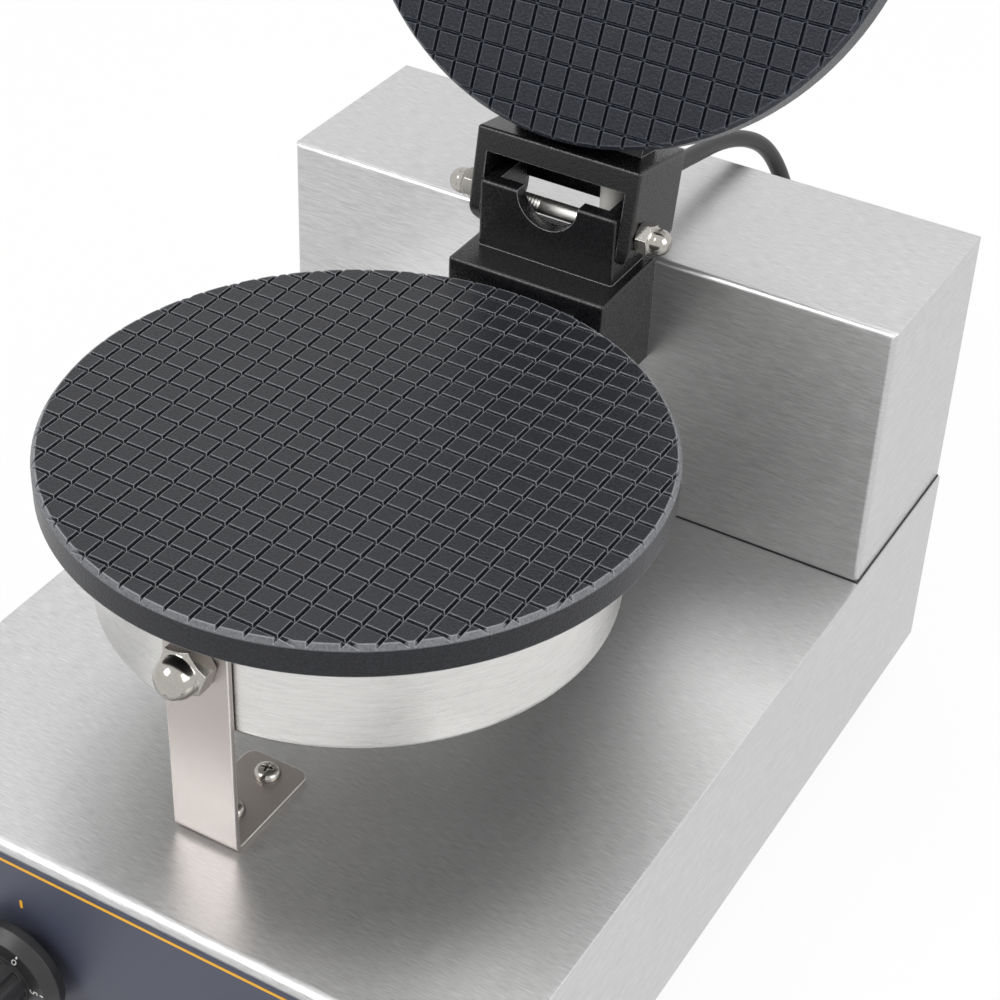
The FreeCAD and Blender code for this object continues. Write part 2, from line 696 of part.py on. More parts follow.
def controls():
    """Timer and thermostat with their shafts and knobs."""
    def timer_outline(sketch):
        rectangle(
            sketch, "timer_offset - timer_width / 2", "timer_offset + timer_width / 2",
            "control_z - timer_tall / 2", "control_z + timer_tall / 2",
        )

    def thermostat_outline(sketch):
        circle(sketch, "thermostat_offset", "control_z", "thermostat_radius")

    reach = "shaft_depth + skin + panel_thick + knob_gap + bore_depth - clearance"
    for name, outline in (("timer", timer_outline), ("thermostat", thermostat_outline)):
        offset = name + "_offset"
        control_case(name, offset, outline)
        keep(rod(name + "_shaft", "shaft_radius", reach, (offset, "front_y + skin + shaft_depth", "control_z"), "90"))
        knob(name + "_knob", offset)


def lamp():
    """Heating lamp: a chromed bezel with its barrel, and a domed lens."""
    bezel = turned("lamp_bezel", (
        ("lens_radius + running", "-lens_seat + lamp_face"),
        ("lens_radius + running", "lamp_face"),
        ("lamp_flange - lamp_face / 2", "lamp_face"),
        ("lamp_flange", "0"),
        ("lamp_radius", "0"),
        ("lamp_radius", "-lamp_barrel"),
        ("0", "-lamp_barrel"),
        ("0", "lamp_face - lens_seat"),
    ))
    keep(stand(bezel, ("lamp_offset", "panel_y", "control_z"), "90"))
    lens = turned("lamp_lens", (
        ("0", "lamp_face - lens_seat"),
        ("lens_radius", "lamp_face - lens_seat"),
        ("lens_radius", "lamp_face + lens_rise"),
        ("0", "lamp_face + lens_rise"),
    ))
    soften(lens, "lens_rise * 0.9", lambda edge: lies(edge, z="lamp_face + lens_rise"))
    keep(stand(lens, ("lamp_offset", "panel_y", "control_z"), "90"))


def switch():
    """Power switch: a framed case and the rocker that tilts in it on two stubs."""
    case = new_body("switch_case")
    frame = sketch_on(case, "switch_frame", "XZ_Plane", "-panel_y")
    rectangle(
        frame, "switch_offset - switch_width / 2", "switch_offset + switch_width / 2",
        "control_z - switch_tall / 2", "control_z + switch_tall / 2",
    )
    pad(case, frame, "switch_face")
    inner = (
        "switch_offset - switch_width / 2 + switch_rim", "switch_offset + switch_width / 2 - switch_rim",
        "control_z - switch_tall / 2 + switch_rim", "control_z + switch_tall / 2 - switch_rim",
    )
    behind = rectangle(sketch_on(case, "switch_body", "XZ_Plane", "-panel_y"), *inner)
    pad(case, behind, "switch_deep", back=True)
    soften(case, "switch_rim / 3", lambda edge: lies(edge, y="panel_y - switch_face"))
    hollow = sketch_on(case, "switch_hollow", "XZ_Plane", "-panel_y + switch_face")
    rectangle(
        hollow, inner[0] + " + panel_thick", inner[1] + " - panel_thick",
        inner[2] + " + panel_thick", inner[3] + " - panel_thick",
    )
    pocket(case, hollow, "rocker_deep")
    keep(case)
    rocker = new_body("rocker")
    half = "(switch_tall / 2 - switch_rim - panel_thick - 2 * clearance)"
    side = sketch_on(rocker, "rocker_side", "YZ_Plane")
    polygon(side, (
        ("-rocker_crown", "-%s + clearance" % half),
        ("-rocker_dip", "0"),
        ("-rocker_crown", "%s - clearance" % half),
        ("0", half),
        ("rocker_tail", "%s / 2" % half),
        ("rocker_tail", "-%s / 2" % half),
        ("0", "-" + half),
    ))
    pad(rocker, side, "switch_width - 2 * switch_rim - 2 * panel_thick - 2 * clearance", both=True)
    pin = circle(sketch_on(rocker, "rocker_stub", "YZ_Plane"), "0", "0", "rocker_pin")
    pad(rocker, pin, "switch_width - 2 * switch_rim - 2 * panel_thick - running", both=True)
    keep(stand(rocker, ("switch_offset", "panel_y", "control_z"), "-rocker_tilt"))


def terminal_block():
    """Stepped terminal block on the bottom cover."""
    body = new_body("terminal_block")
    side = sketch_on(body, "terminal_side", "YZ_Plane")
    polygon(side, (
        ("-terminal_deep / 2", "0"),
        ("terminal_deep / 2", "0"),
        ("terminal_deep / 2", "terminal_tall - terminal_step"),
        ("terminal_deep / 4", "terminal_tall - terminal_step"),
        ("terminal_deep / 4", "terminal_tall"),
        ("-terminal_deep / 4", "terminal_tall"),
        ("-terminal_deep / 4", "terminal_tall - terminal_step"),
        ("-terminal_deep / 2", "terminal_tall - terminal_step"),
    ))
    pad(body, side, "terminal_width", both=True)
    keep(stand(body, ("terminal_x", "terminal_y", "foot_height")))


def gland(name, bore, at, turn, frame=None):
    """Cable gland through a wall: thread inside, collar and tapered nose outside."""
    inner = [(bore, "-gland_inside")]
    end = [(bore, "gland_length")]
    body = turned(name, inner + [
        ("gland_thread", "-gland_inside"),
        ("gland_thread", "0"),
        ("gland_flange", "0"),
        ("gland_flange", "gland_collar"),
        ("gland_nose", "gland_length"),
    ] + end)
    return keep(stand(body, at, turn, frame))


def glands():
    """Mains gland and the lead's two glands, on the base and on the yoke's bridge."""
    level = "foot_height + lead_rise"
    gland("mains_gland", "mains_bore", ("mains_entry", "rear_y", level), "-90")
    gland("base_lead_gland", "0", ("lead_entry", "rear_y", level), "-90")
    gland("lid_lead_gland", "0", ("lead_offset", "-lead_up", "yoke_over"), "0", "yoke")


def grid_plate(name):
    """Cast disc whose face is cut into square pads by two crossed rows of vee grooves."""
    body = turned(name, (
        ("0", "0"),
        ("plate_radius", "0"),
        ("plate_radius", "plate_thick"),
        ("plate_radius - rim_run", "plate_thick + pad_height"),
        ("0", "plate_thick + pad_height"),
    ))
    for role in ("XZ_Plane", "YZ_Plane"):
        vee = sketch_on(body, name + "_vee", role)
        first = "-groove_half * groove_pitch"
        polygon(vee, (
            (first + " - groove_width", "plate_thick + pad_height + groove_depth"),
            (first + " + groove_width", "plate_thick + pad_height + groove_depth"),
            (first, "plate_thick + pad_height - groove_depth"),
        ))
        cut = pocket(body, vee, "plate_radius + rim_run")
        repeat(body, cut, (vee, ["H_Axis"]), "2 * groove_half * groove_pitch", "2 * groove_half + 1")
    return body


def lower_plate():
    """Fixed grid plate, with a flat heel bolted against the hinge block."""
    body = grid_plate("lower_plate")
    heel = sketch_on(body, "lower_heel", "XY_Plane")
    rectangle(heel, "-heel_width / 2", "heel_width / 2", "plate_radius * 0.9", "grill_reach - block_reach")
    pad(body, heel, "heel_tall")
    holes = sketch_on(body, "lower_heel_holes", "XZ_Plane", "block_reach - grill_reach")
    for side in ("-", ""):
        circle(holes, side + "plate_bolt_spread", "heel_tall / 2", "bolt_radius + slip")
    pocket(body, holes, "bolt_grip + clearance")
    return keep(stand(body, ("0", "grill_y", "plate_z")))


def upper_plate():
    """Lid's grid plate, face down when shut, bolted to the yoke and the handle."""
    body = grid_plate("upper_plate")
    holes = sketch_on(body, "upper_bolt_holes", "XY_Plane")
    for side in ("-", ""):
        circle(holes, side + "boss_spread", "boss_back - plate_radius", "bolt_radius + slip")
        circle(holes, side + "handle_screw_spread", "plate_radius - handle_screw_back", "screw_radius + slip")
    pocket(body, holes, "plate_thick - groove_depth")
    return keep(stand(body, ("0", "-lid_reach", "lid_back"), "180", "lid"))


def pan(name, bore):
    """Drawn steel pan, open towards its plate; bore is the radius of the hole in its floor."""
    body = turned(name, (
        (bore, "0"),
        ("pan_radius", "0"),
        ("pan_radius", "pan_depth"),
        ("pan_radius - pan_sheet", "pan_depth"),
        ("pan_radius - pan_sheet", "pan_sheet"),
        (bore, "pan_sheet"),
    ))
    soften(body, "pan_corner", lambda edge: lies(edge, z="0") and near(edge.BoundBox.XMax, "pan_radius"))
    soften(body, "pan_corner - pan_sheet", lambda edge: (
        lies(edge, z="pan_sheet") and near(edge.BoundBox.XMax, "pan_radius - pan_sheet")
    ))
    return body


def element(name, at, frame=None):
    """Tubular heating element, a ring with a gap for its terminals."""
    ring = doc.addObject("Part::Torus", name)
    bind(ring, Radius1="element_ring", Radius2="element_radius", Angle3="element_turn")
    return keep(stand(ring, at, "0", frame))


def wool(name, bore, at, turn="0", frame=None):
    """Disc of insulating wool on a pan's floor."""
    body = turned(name, (
        (bore, "0"),
        ("pan_radius - pan_corner - wool_room", "0"),
        ("pan_radius - pan_corner - wool_room", "wool_thick"),
        (bore, "wool_thick"),
    ))
    return keep(stand(body, at, turn, frame))


def lower_grill():
    """Lower pan with its heater, wool and wire pipe."""
    shell = pan("lower_pan", "conduit_radius - conduit_wall")
    bolt = sketch_on(shell, "lower_pan_bolt_hole", "XZ_Plane", "pan_radius")
    circle(bolt, "0", "strip_bolt_rise - grill_rise + pan_depth", "pan_bolt_radius + slip")
    pocket(shell, bolt, "pan_corner")
    keep(stand(shell, ("0", "grill_y", "pan_z")))
    element("lower_element", ("0", "grill_y", "plate_z - element_radius - slip"))
    wool("lower_wool", "conduit_radius", ("0", "grill_y", "pan_z + pan_sheet"))
    conduit = turned("conduit", (
        ("conduit_radius - conduit_wall", "deck_z"),
        ("conduit_radius", "deck_z"),
        ("conduit_radius", "pan_z"),
        ("conduit_radius - conduit_wall", "pan_z"),
    ))
    keep(stand(conduit, ("0", "grill_y", "0")))


def upper_grill():
    """Upper pan with its heater and wool, on the lid."""
    shell = pan("upper_pan", "0")
    keep(stand(shell, ("0", "-lid_reach", "lid_back + pan_depth"), "180", "lid"))
    element("upper_element", ("0", "-lid_reach", "lid_back + element_radius + slip"), "lid")
    wool("upper_wool", "0", ("0", "-lid_reach", "lid_back + pan_depth - pan_sheet"), "180", "lid")


def front_bracket():
    """Steel strip bent to an L: its foot screwed to the deck, its upright bolted to the pan."""
    body = new_body("front_bracket")
    side = sketch_on(body, "bracket_side", "YZ_Plane")
    top = "plate_z - strip_room"
    polygon(side, (
        ("strip_y", "deck_z"),
        ("strip_y + strip_foot", "deck_z"),
        ("strip_y + strip_foot", "deck_z + strip_sheet"),
        ("strip_y + strip_sheet", "deck_z + strip_sheet"),
        ("strip_y + strip_sheet", top),
        ("strip_y", top),
    ))
    pad(body, side, "strip_width", both=True)
    soften(body, "strip_bend", lambda edge: lies(edge, y="strip_y", z="deck_z"))
    soften(body, "strip_bend - strip_sheet", lambda edge: (
        lies(edge, y="strip_y + strip_sheet", z="deck_z + strip_sheet")
    ))
    soften(body, "strip_round", lambda edge: (
        lies(edge, x="strip_width / 2", y="strip_y + strip_foot")
        or lies(edge, x="-strip_width / 2", y="strip_y + strip_foot")
    ))
    foot = sketch_on(body, "bracket_foot_holes", "XY_Plane", "deck_z")
    for back in ("strip_screw_near", "strip_screw_far"):
        circle(foot, "0", "strip_y + " + back, "screw_radius + slip")
    pocket(body, foot, "2 * strip_sheet")
    upright = sketch_on(body, "bracket_bolt_hole", "XZ_Plane", "-strip_y")
    circle(upright, "0", "deck_z + strip_bolt_rise", "pan_bolt_radius + slip")
    pocket(body, upright, "2 * strip_sheet")
    keep(body)
    for word in ("near", "far"):
        place = ("0", "strip_y + strip_screw_" + word, "deck_z + strip_sheet")
        pan_screw("bracket_screw_" + word, place, "screw_length")


def cap_nut(name, size, radius, depth, at, turn, frame=None, across=False):
    """Cap nut: a hexagon with a round dome, threaded blind; size is big_nut or small_nut."""
    body = new_body(name)
    outline = sketch_on(body, name + "_hex", "XY_Plane")
    corner = size + "_flats / 2 / cos(30)"
    polygon(outline, [
        ("%s * cos(%d)" % (corner, turn_by), "%s * sin(%d)" % (corner, turn_by)) for turn_by in range(0, 360, 60)
    ])
    pad(body, outline, size + "_hex")
    neck = circle(sketch_on(body, name + "_neck", "XY_Plane"), "0", "0", size + "_dome")
    pad(body, neck, size + "_tall")
    soften(body, size + "_dome * 0.96", lambda edge: lies(edge, z=size + "_tall"))
    bore = circle(sketch_on(body, name + "_bore", "XY_Plane"), "0", "0", radius + " + running")
    pocket(body, bore, depth)
    return keep(stand(body, at, turn, frame, across))


def pan_bolt():
    """Bolt from inside the lower pan through its wall and the bracket, with a cap nut."""
    start = "pan_radius - pan_sheet"
    bolt = turned("pan_bolt", (
        ("0", start + " - pan_bolt_rise"),
        ("pan_bolt_head", start + " - pan_bolt_rise"),
        ("pan_bolt_head", start + " - pan_bolt_head * pan_bolt_head / pan_radius / 2"),
        ("pan_bolt_radius", start + " - pan_bolt_head * pan_bolt_head / pan_radius / 2"),
        ("pan_bolt_radius", "pan_radius + strip_sheet + cap_bore - clearance"),
        ("0", "pan_radius + strip_sheet + cap_bore - clearance"),
    ))
    keep(stand(bolt, ("0", "grill_y", "deck_z + strip_bolt_rise"), "90"))
    spot = ("0", "strip_y", "deck_z + strip_bolt_rise")
    cap_nut("pan_nut", "big_nut", "pan_bolt_radius", "cap_bore", spot, "90")


def hinge_block():
    """Cast block bolted to the tower: a step, two ears with a notched front wall, a trough between."""
    body = new_body("hinge_block")
    side = sketch_on(body, "block_side", "YZ_Plane")
    polygon(side, (
        ("block_y", "block_z"),
        ("tower_y", "block_z"),
        ("tower_y", "tower_z"),
        ("ear_y + ear_depth", "tower_z"),
        ("ear_y + ear_depth", "ear_z"),
        ("ear_y", "ear_z"),
        ("ear_y", "tower_z"),
        ("block_y", "tower_z"),
    ))
    pad(body, side, "block_width", both=True)
    flank = sketch_on(body, "block_flanks", "XZ_Plane", "-ear_y")
    for near_edge, far_edge in (("-block_width", "-ear_width / 2"), ("ear_width / 2", "block_width")):
        rectangle(flank, near_edge, far_edge, "tower_z", "ear_z + ear_floor")
    pocket(body, flank, "ear_depth + ear_floor")
    edges = ("block_width / 2", "-block_width / 2")
    soften(body, "casting_round", lambda edge: (
        lies(edge, y="block_y", z="tower_z")
        or lies(edge, y="ear_y", z="ear_z")
        or any(lies(edge, x=place, y="block_y") or lies(edge, x=place, z="tower_z") for place in edges)
        or any(lies(edge, x=sign + "ear_width / 2", y="ear_y") for sign in ("", "-"))
        or any(lies(edge, x=sign + "ear_width / 2", z="ear_z") for sign in ("", "-"))
    ))
    trough = sketch_on(body, "block_trough", "YZ_Plane")
    rectangle(trough, "ear_y + ear_wall", "tower_y + ear_wall", "tower_z + ear_floor", "ear_z + ear_floor")
    pocket(body, trough, "ear_width / 2 - ear_wall")
    notch = circle(sketch_on(body, "block_notch", "XZ_Plane", "-ear_y"), "0", "ear_z", "notch_radius")
    pocket(body, notch, "2 * ear_wall")
    bore = circle(sketch_on(body, "block_bore", "YZ_Plane"), "pivot_y", "pivot_z", "stud_radius + running")
    pocket(body, bore, "block_width")
    hollow = sketch_on(body, "block_hollow", "XY_Plane", "block_z")
    rectangle(
        hollow, "block_wall - block_width / 2", "block_width / 2 - block_wall",
        "block_y + block_wall", "tower_y - block_wall",
    )
    pocket(body, hollow, "block_tall - block_roof")
    rear = sketch_on(body, "block_rear_holes", "XZ_Plane", "-tower_y")
    for sign in ("-", ""):
        circle(rear, sign + "tower_bolt_spread", "tower_z - tower_bolt_drop", "bolt_radius + slip")
    pocket(body, rear, "block_wall + clearance")
    front = sketch_on(body, "block_front_holes", "XZ_Plane", "-block_y")
    for sign in ("-", ""):
        circle(front, sign + "plate_bolt_spread", "plate_z + heel_tall / 2", "bolt_radius + slip")
    pocket(body, front, "block_wall + clearance")
    return keep(body)


def bolt(name, grip, at, turn, frame=None):
    """Cap-head bolt with its head at a point and its shank behind it."""
    body = turned(name, (
        ("0", "-(%s)" % grip),
        ("bolt_radius", "-(%s)" % grip),
        ("bolt_radius", "0"),
        ("bolt_head", "0"),
        ("bolt_head", "bolt_rise"),
        ("0", "bolt_rise"),
    ))
    return keep(stand(body, at, turn, frame))


def hinge_fasteners():
    """Bolts of the block to the tower and to the lower plate, and the nylon stop peg."""
    for side, word in (("-", "left"), ("", "right")):
        spot = (side + "tower_bolt_spread", "tower_y + skin", "tower_z - tower_bolt_drop")
        bolt("tower_bolt_" + word, "skin + block_wall", spot, "-90")
        spot = (side + "plate_bolt_spread", "block_y + block_wall", "plate_z + heel_tall / 2")
        bolt("plate_bolt_" + word, "block_wall + bolt_grip", spot, "-90")
    start = "tower_z + ear_floor"
    peg = rod(
        "stop_peg", "peg_radius", "pivot_z + peg_top - (%s)" % start, ("peg_offset", "pivot_y + peg_back", start)
    )
    keep(peg)


def hinge_yoke():
    """Cast yoke: a slab across two arms, a rear bridge, and a lug with bosses on the plate."""
    body = new_body("yoke_casting")
    side = sketch_on(body, "yoke_side", "YZ_Plane")
    rectangle(side, "-yoke_top", "yoke_tail", "-yoke_under", "yoke_over")
    pad(body, side, "2 * arm_outside", both=True)
    soften(body, "yoke_corner", lambda edge: lies(edge, y="yoke_tail"))
    void = sketch_on(body, "yoke_void", "YZ_Plane")
    polygon(void, (
        ("-slab_under", "-2 * yoke_under"),
        ("yoke_top", "-2 * yoke_under"),
        ("yoke_top", "2 * yoke_over"),
        ("-bridge_low", "2 * yoke_over"),
        ("-bridge_low", "yoke_over - bridge_thick"),
        ("-slab_under", "yoke_over - bridge_thick"),
    ))
    pocket(body, void, "arm_inside")
    soften(body, "casting_round", lambda edge: (
        lies(edge, y="-yoke_top")
        or lies(edge, x="arm_outside", z="-yoke_under")
        or lies(edge, x="-arm_outside", z="-yoke_under")
        or lies(edge, x="arm_outside", z="yoke_over")
        or lies(edge, x="-arm_outside", z="yoke_over")
    ))
    bore = circle(sketch_on(body, "yoke_bore", "YZ_Plane"), "0", "0", "stud_radius + running")
    pocket(body, bore, "2 * arm_outside")
    entry = circle(sketch_on(body, "yoke_entry", "XY_Plane", "yoke_over"), "lead_offset", "-lead_up", "gland_thread + slip")
    pocket(body, entry, "2 * bridge_thick")
    stand(body, frame="yoke")
    lug = doc.addObject("Part::Box", "yoke_lug")
    lug_end = "pan_radius + lug_room - lid_reach"
    bind(lug, Length="lug_width", Width="-lug_root - (%s)" % lug_end, Height="lug_tall")
    stand(lug, ("-lug_width / 2", lug_end, "lug_floor"), frame="lid")
    row = "lid_rear - boss_back"
    solids = [body, lug]
    holes = []
    for side, word in (("-", "left"), ("", "right")):
        across = side + "boss_spread"
        boss = rod("yoke_boss_" + word, "boss_radius", "lug_floor + 1 - lid_back", (across, row, "lid_back"), "0", "lid")
        solids.append(boss)
        hole = rod(
            "yoke_hole_" + word, "bolt_radius + slip", "lug_floor + lug_tall - lid_back + 2",
            (across, row, "lid_back - 1"), "0", "lid",
        )
        holes.append(hole)
    whole = doc.addObject("Part::MultiFuse", "yoke_whole")
    whole.Shapes = solids
    drills = doc.addObject("Part::MultiFuse", "yoke_holes")
    drills.Shapes = holes
    yoke = doc.addObject("Part::Cut", "hinge_yoke")
    yoke.Base = whole
    yoke.Tool = drills
    doc.recompute()
    keep(yoke)
    for side, word in (("-", "left"), ("", "right")):
        spot = (side + "boss_spread", row, "lug_floor + lug_tall")
        bolt("yoke_bolt_" + word, "lug_floor + lug_tall - lid_back + plate_thick / 2", spot, "0", "lid")


def hinge_stud():
    """Stud through arms and ears, with a cap nut on each end; it turns with the yoke."""
    half = "arm_outside + stud_tail"
    keep(rod("hinge_stud", "stud_radius", "2 * (%s)" % half, ("-(%s)" % half, "0", "0"), "90", "lid", True))
    depth = "stud_tail + clearance"
    right = ("arm_outside", "0", "0")
    left = ("-arm_outside", "0", "0")
    cap_nut("hinge_nut_right", "small_nut", "stud_radius", depth, right, "90", "lid", True)
    cap_nut("hinge_nut_left", "small_nut", "stud_radius", depth, left, "-90", "lid", True)


def handle():
    """Lid handle: a steel foot and bar on the plate's front edge, a turned grip and a cap nut."""
    bar_end = "grip_start - grip_length"
    foot = doc.addObject("Part::Box", "handle_foot")
    foot_back = "paddle_room"
    foot_length = "plate_radius - pan_radius - %s + paddle_overhang" % foot_back
    bind(foot, Length="paddle_width", Width=foot_length, Height="paddle_thick")
    stand(foot, ("-paddle_width / 2", "lid_front - paddle_overhang", "lid_back"), frame="lid")
    bar = rod(
        "handle_rod", "pan_bolt_radius", "paddle_overhang / 2 + grip_gap + grip_length + cap_bore - clearance",
        ("0", "lid_front - paddle_overhang / 2", "handle_z"), "90", "lid",
    )
    joined = doc.addObject("Part::MultiFuse", "handle_joined")
    joined.Shapes = [foot, bar]
    holes = []
    row = "lid_front + handle_screw_back"
    for side, word in (("-", "left"), ("", "right")):
        hole = rod(
            "handle_hole_" + word, "screw_radius + slip", "3 * paddle_thick",
            (side + "handle_screw_spread", row, "lid_back - paddle_thick"), "0", "lid",
        )
        holes.append(hole)
    drills = doc.addObject("Part::MultiFuse", "handle_holes")
    drills.Shapes = holes
    whole = doc.addObject("Part::Cut", "handle_bar")
    whole.Base = joined
    whole.Tool = drills
    doc.recompute()
    keep(whole)
    grip = turned("handle_grip", (
        ("pan_bolt_radius + slip", "0"),
        ("grip_end", "0"),
        ("grip_belly", "grip_length * 0.4"),
        ("grip_belly", "grip_length * 0.7"),
        ("grip_end", "grip_length"),
        ("pan_bolt_radius + slip", "grip_length"),
    ))
    soften(grip, "grip_round", lambda edge: (
        near(edge.BoundBox.XMax, "grip_end") and edge.BoundBox.ZLength < 1e-6
    ))
    soften(grip, "3 * grip_round", lambda edge: (
        near(edge.BoundBox.XMax, "grip_belly") and edge.BoundBox.ZLength < 1e-6
    ))
    keep(stand(grip, ("0", "grip_start", "handle_z"), "90", "lid"))
    cap_nut("handle_nut", "big_nut", "pan_bolt_radius", "cap_bore", ("0", bar_end, "handle_z"), "90", "lid")
    for side, word in (("-", "left"), ("", "right")):
        spot = (side + "handle_screw_spread", row, "lid_back + paddle_thick")
        pan_screw("handle_screw_" + word, spot, "handle_screw_length", "0", "lid")


def yoke_point(across, along, over):
    """Point of the yoke's frame, at rest, in the part's own frame."""
    lean = math.radians(value("yoke_angle"))
    north = value("pivot_y") + along * math.cos(lean) - over * math.sin(lean)
    return Vector(across, north, value("pivot_z") + along * math.sin(lean) + over * math.cos(lean))


def rounded_path(points):
    """Straight runs joined by tangent arcs as large as the runs allow, with the arcs' radii."""
    edges = []
    radii = []
    last = points[0]
    for before, corner, after in zip(points, points[1:], points[2:]):
        back = (before - corner).normalize()
        ahead = (after - corner).normalize()
        turn = math.pi - back.getAngle(ahead)
        cut = ARC_SHARE * min((before - corner).Length, (after - corner).Length)
        radius = cut / math.tan(turn / 2)
        radii.append(radius)
        enter = corner + back * cut
        leave = corner + ahead * cut
        bisector = (back + ahead).normalize()
        middle = corner + bisector * (radius / math.cos(turn / 2) - radius)
        edges.append(Part.LineSegment(last, enter).toShape())
        edges.append(Part.Arc(enter, middle, leave).toShape())
        last = leave
    edges.append(Part.LineSegment(last, points[-1]).toShape())
    return Part.Wire(edges), radii


def lid_lead():
    """Round lead of the upper plate's heater, from the yoke over the tower's back to the base."""
    across = value("lead_offset")
    up = -value("lead_up")
    nose = value("yoke_over + gland_length")
    run = value("lead_straight")
    start = yoke_point(across, up, nose)
    end = Vector(value("lead_entry"), value("rear_y + gland_length"), value("foot_height + lead_rise"))
    bends = [Vector(*point) for point in LEAD_POINTS]
    route = [start, yoke_point(across, up, nose + run)] + bends + [end + Vector(0, run, 0), end]
    path, radii = rounded_path(route)
    direction = (route[1] - route[0]).normalize()
    section = Part.Wire(Part.makeCircle(value("lead_radius"), start, direction))
    lead = doc.addObject("Part::Feature", "lid_lead")
    lead.Shape = path.makePipeShell([section], True, False)
    ideal = math.pi * value("lead_radius") ** 2 * path.Length
    print("lead length %.1f, radii %s" % (path.Length, " ".join("%.0f" % radius for radius in radii)))
    print("lead volume %.1f against %.1f" % (lead.Shape.Volume, ideal))
    return keep(lead)


def check_and_write():
    """Stop on any failed object or bad solid, then write each sub-part."""
    doc.recompute()
    for thing in doc.Objects:
        if "Invalid" in thing.State or "Error" in thing.State:
            raise RuntimeError("failed: " + thing.Name)
    for part in subparts:
        if part.Shape.isNull() or not part.Shape.isValid() or not part.Shape.Solids:
            raise RuntimeError("bad solid: " + part.Name)
    os.makedirs("parts", exist_ok=True)
    for part in subparts:
        part.Shape.exportStep("parts/" + part.Label + ".step")
    print("%d sub-parts" % len(subparts))


def build():
    """Make every sub-part in turn."""
    fill_sheets()
    for make in (
        base_shell, bottom_cover, feet, tower_shell, rear_panel, rear_screws, control_panel, controls, lamp, switch,
        terminal_block, glands, lower_plate, lower_grill, front_bracket, pan_bolt, hinge_block, hinge_fasteners,
        hinge_yoke, hinge_stud, upper_plate, upper_grill, handle, lid_lead,
    ):
        make()
    check_and_write()


build()
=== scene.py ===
import logging
import math
from dataclasses import dataclass
from enum import Enum
from typing import Any, Sequence

import bmesh
import bpy
from mathutils import Matrix, Vector


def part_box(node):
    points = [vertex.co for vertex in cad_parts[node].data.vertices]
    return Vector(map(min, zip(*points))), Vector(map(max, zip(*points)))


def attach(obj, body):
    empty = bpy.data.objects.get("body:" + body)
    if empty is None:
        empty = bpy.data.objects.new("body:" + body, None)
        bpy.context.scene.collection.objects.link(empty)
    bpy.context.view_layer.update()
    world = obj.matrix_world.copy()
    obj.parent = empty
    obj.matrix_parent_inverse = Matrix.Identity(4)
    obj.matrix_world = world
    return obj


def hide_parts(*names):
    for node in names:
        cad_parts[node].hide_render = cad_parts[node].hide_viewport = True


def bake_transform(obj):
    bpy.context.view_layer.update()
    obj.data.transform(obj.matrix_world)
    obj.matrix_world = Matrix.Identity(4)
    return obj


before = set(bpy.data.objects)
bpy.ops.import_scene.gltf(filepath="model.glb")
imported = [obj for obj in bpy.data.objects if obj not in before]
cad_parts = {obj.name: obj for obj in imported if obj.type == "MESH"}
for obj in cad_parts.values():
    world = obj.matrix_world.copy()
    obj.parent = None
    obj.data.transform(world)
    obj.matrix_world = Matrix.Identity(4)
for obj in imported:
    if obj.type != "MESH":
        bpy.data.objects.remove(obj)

log = logging.getLogger("cone_maker")
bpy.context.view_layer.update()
MM = 0.001
Point = tuple[float, float, float]
Pair = tuple[float, float]
Tree = bpy.types.NodeTree
Socket = bpy.types.NodeSocket
# Hinge axis, in metres, and the lid's lean about X at rest, in degrees.
PIVOT: Point = (0.0, 0.0787, 0.2214)
LID_LEAN = -113.0
# A point on the axis of each round plate and its pan, in metres.
LOWER_AXIS: Point = (0.0, -0.05, 0.0)
UPPER_AXIS: Point = (0.0, 0.1290, 0.3399)
# Part of a noise texture's range that is stretched to full contrast, for grit and for scratches.
GRIT_RANGE: Pair = (0.32, 0.68)
SCRATCH_RANGE: Pair = (0.3, 0.7)
# How far the grit moves the roughness each way, as part of it.
ROUGH_SPREAD = 0.15
# Cosine between the true and the rounded normal where the painted edge highlight begins to show, and where it
# shows fully.
EDGE_TURN: Pair = (0.99, 0.88)
# Least part of a face's normal along X that makes it a side of the sheet.
SIDE_NORMAL = 0.7
# Corner radius of a printed bar, as part of its narrow side.
BAR_ROUND = 0.4
# Part of a direction along Y and along Z above which it counts as leaning.
LEANING = 0.01
# Height of a digit as part of the type's size.
DIGIT_SHARE = 0.7


class Carrier(Enum):
    """Body of the frame that a piece moves with."""

    BASE = "base"
    LID = "lid"
    TIMER = "timer_dial"
    THERMOSTAT = "thermostat_dial"
    ROCKER = "power_rocker"


def linear(code: str) -> tuple[float, float, float, float]:
    """Turn an sRGB hex colour into linear light.

    Args:
        code: six hex digits after a hash.

    Returns:
        Red, green, blue and an alpha of one.
    """
    def channel(text: str) -> float:
        """Linear value of two hex digits."""
        part = int(text, 16) / 255
        return part / 12.92 if part <= 0.04045 else ((part + 0.055) / 1.055) ** 2.4

    return channel(code[1:3]), channel(code[3:5]), channel(code[5:7]), 1.0


def add(tree: Tree, kind: str, inputs: dict[Any, Any] | None = None, **settings: Any) -> bpy.types.Node:
    """Add one node with its settings, values and links.

    Args:
        tree: node tree that gets the node.
        kind: the node's type.
        inputs: value or output socket for each input, by name or number.
        **settings: properties of the node itself.

    Returns:
        The new node.
    """
    node = tree.nodes.new(kind)
    for key, setting in settings.items():
        setattr(node, key, setting)
    for key, given in (inputs or {}).items():
        if isinstance(given, Socket):
            tree.links.new(given, node.inputs[key])
        else:
            node.inputs[key].default_value = given
    return node


def emptied(owner: bpy.types.Material | bpy.types.World) -> Tree:
    """Node tree of a material or a world, without the nodes that it starts with.

    Args:
        owner: the material or world.

    Returns:
        The empty tree.
    """
    owner.use_nodes = True
    owner.node_tree.nodes.clear()
    return owner.node_tree


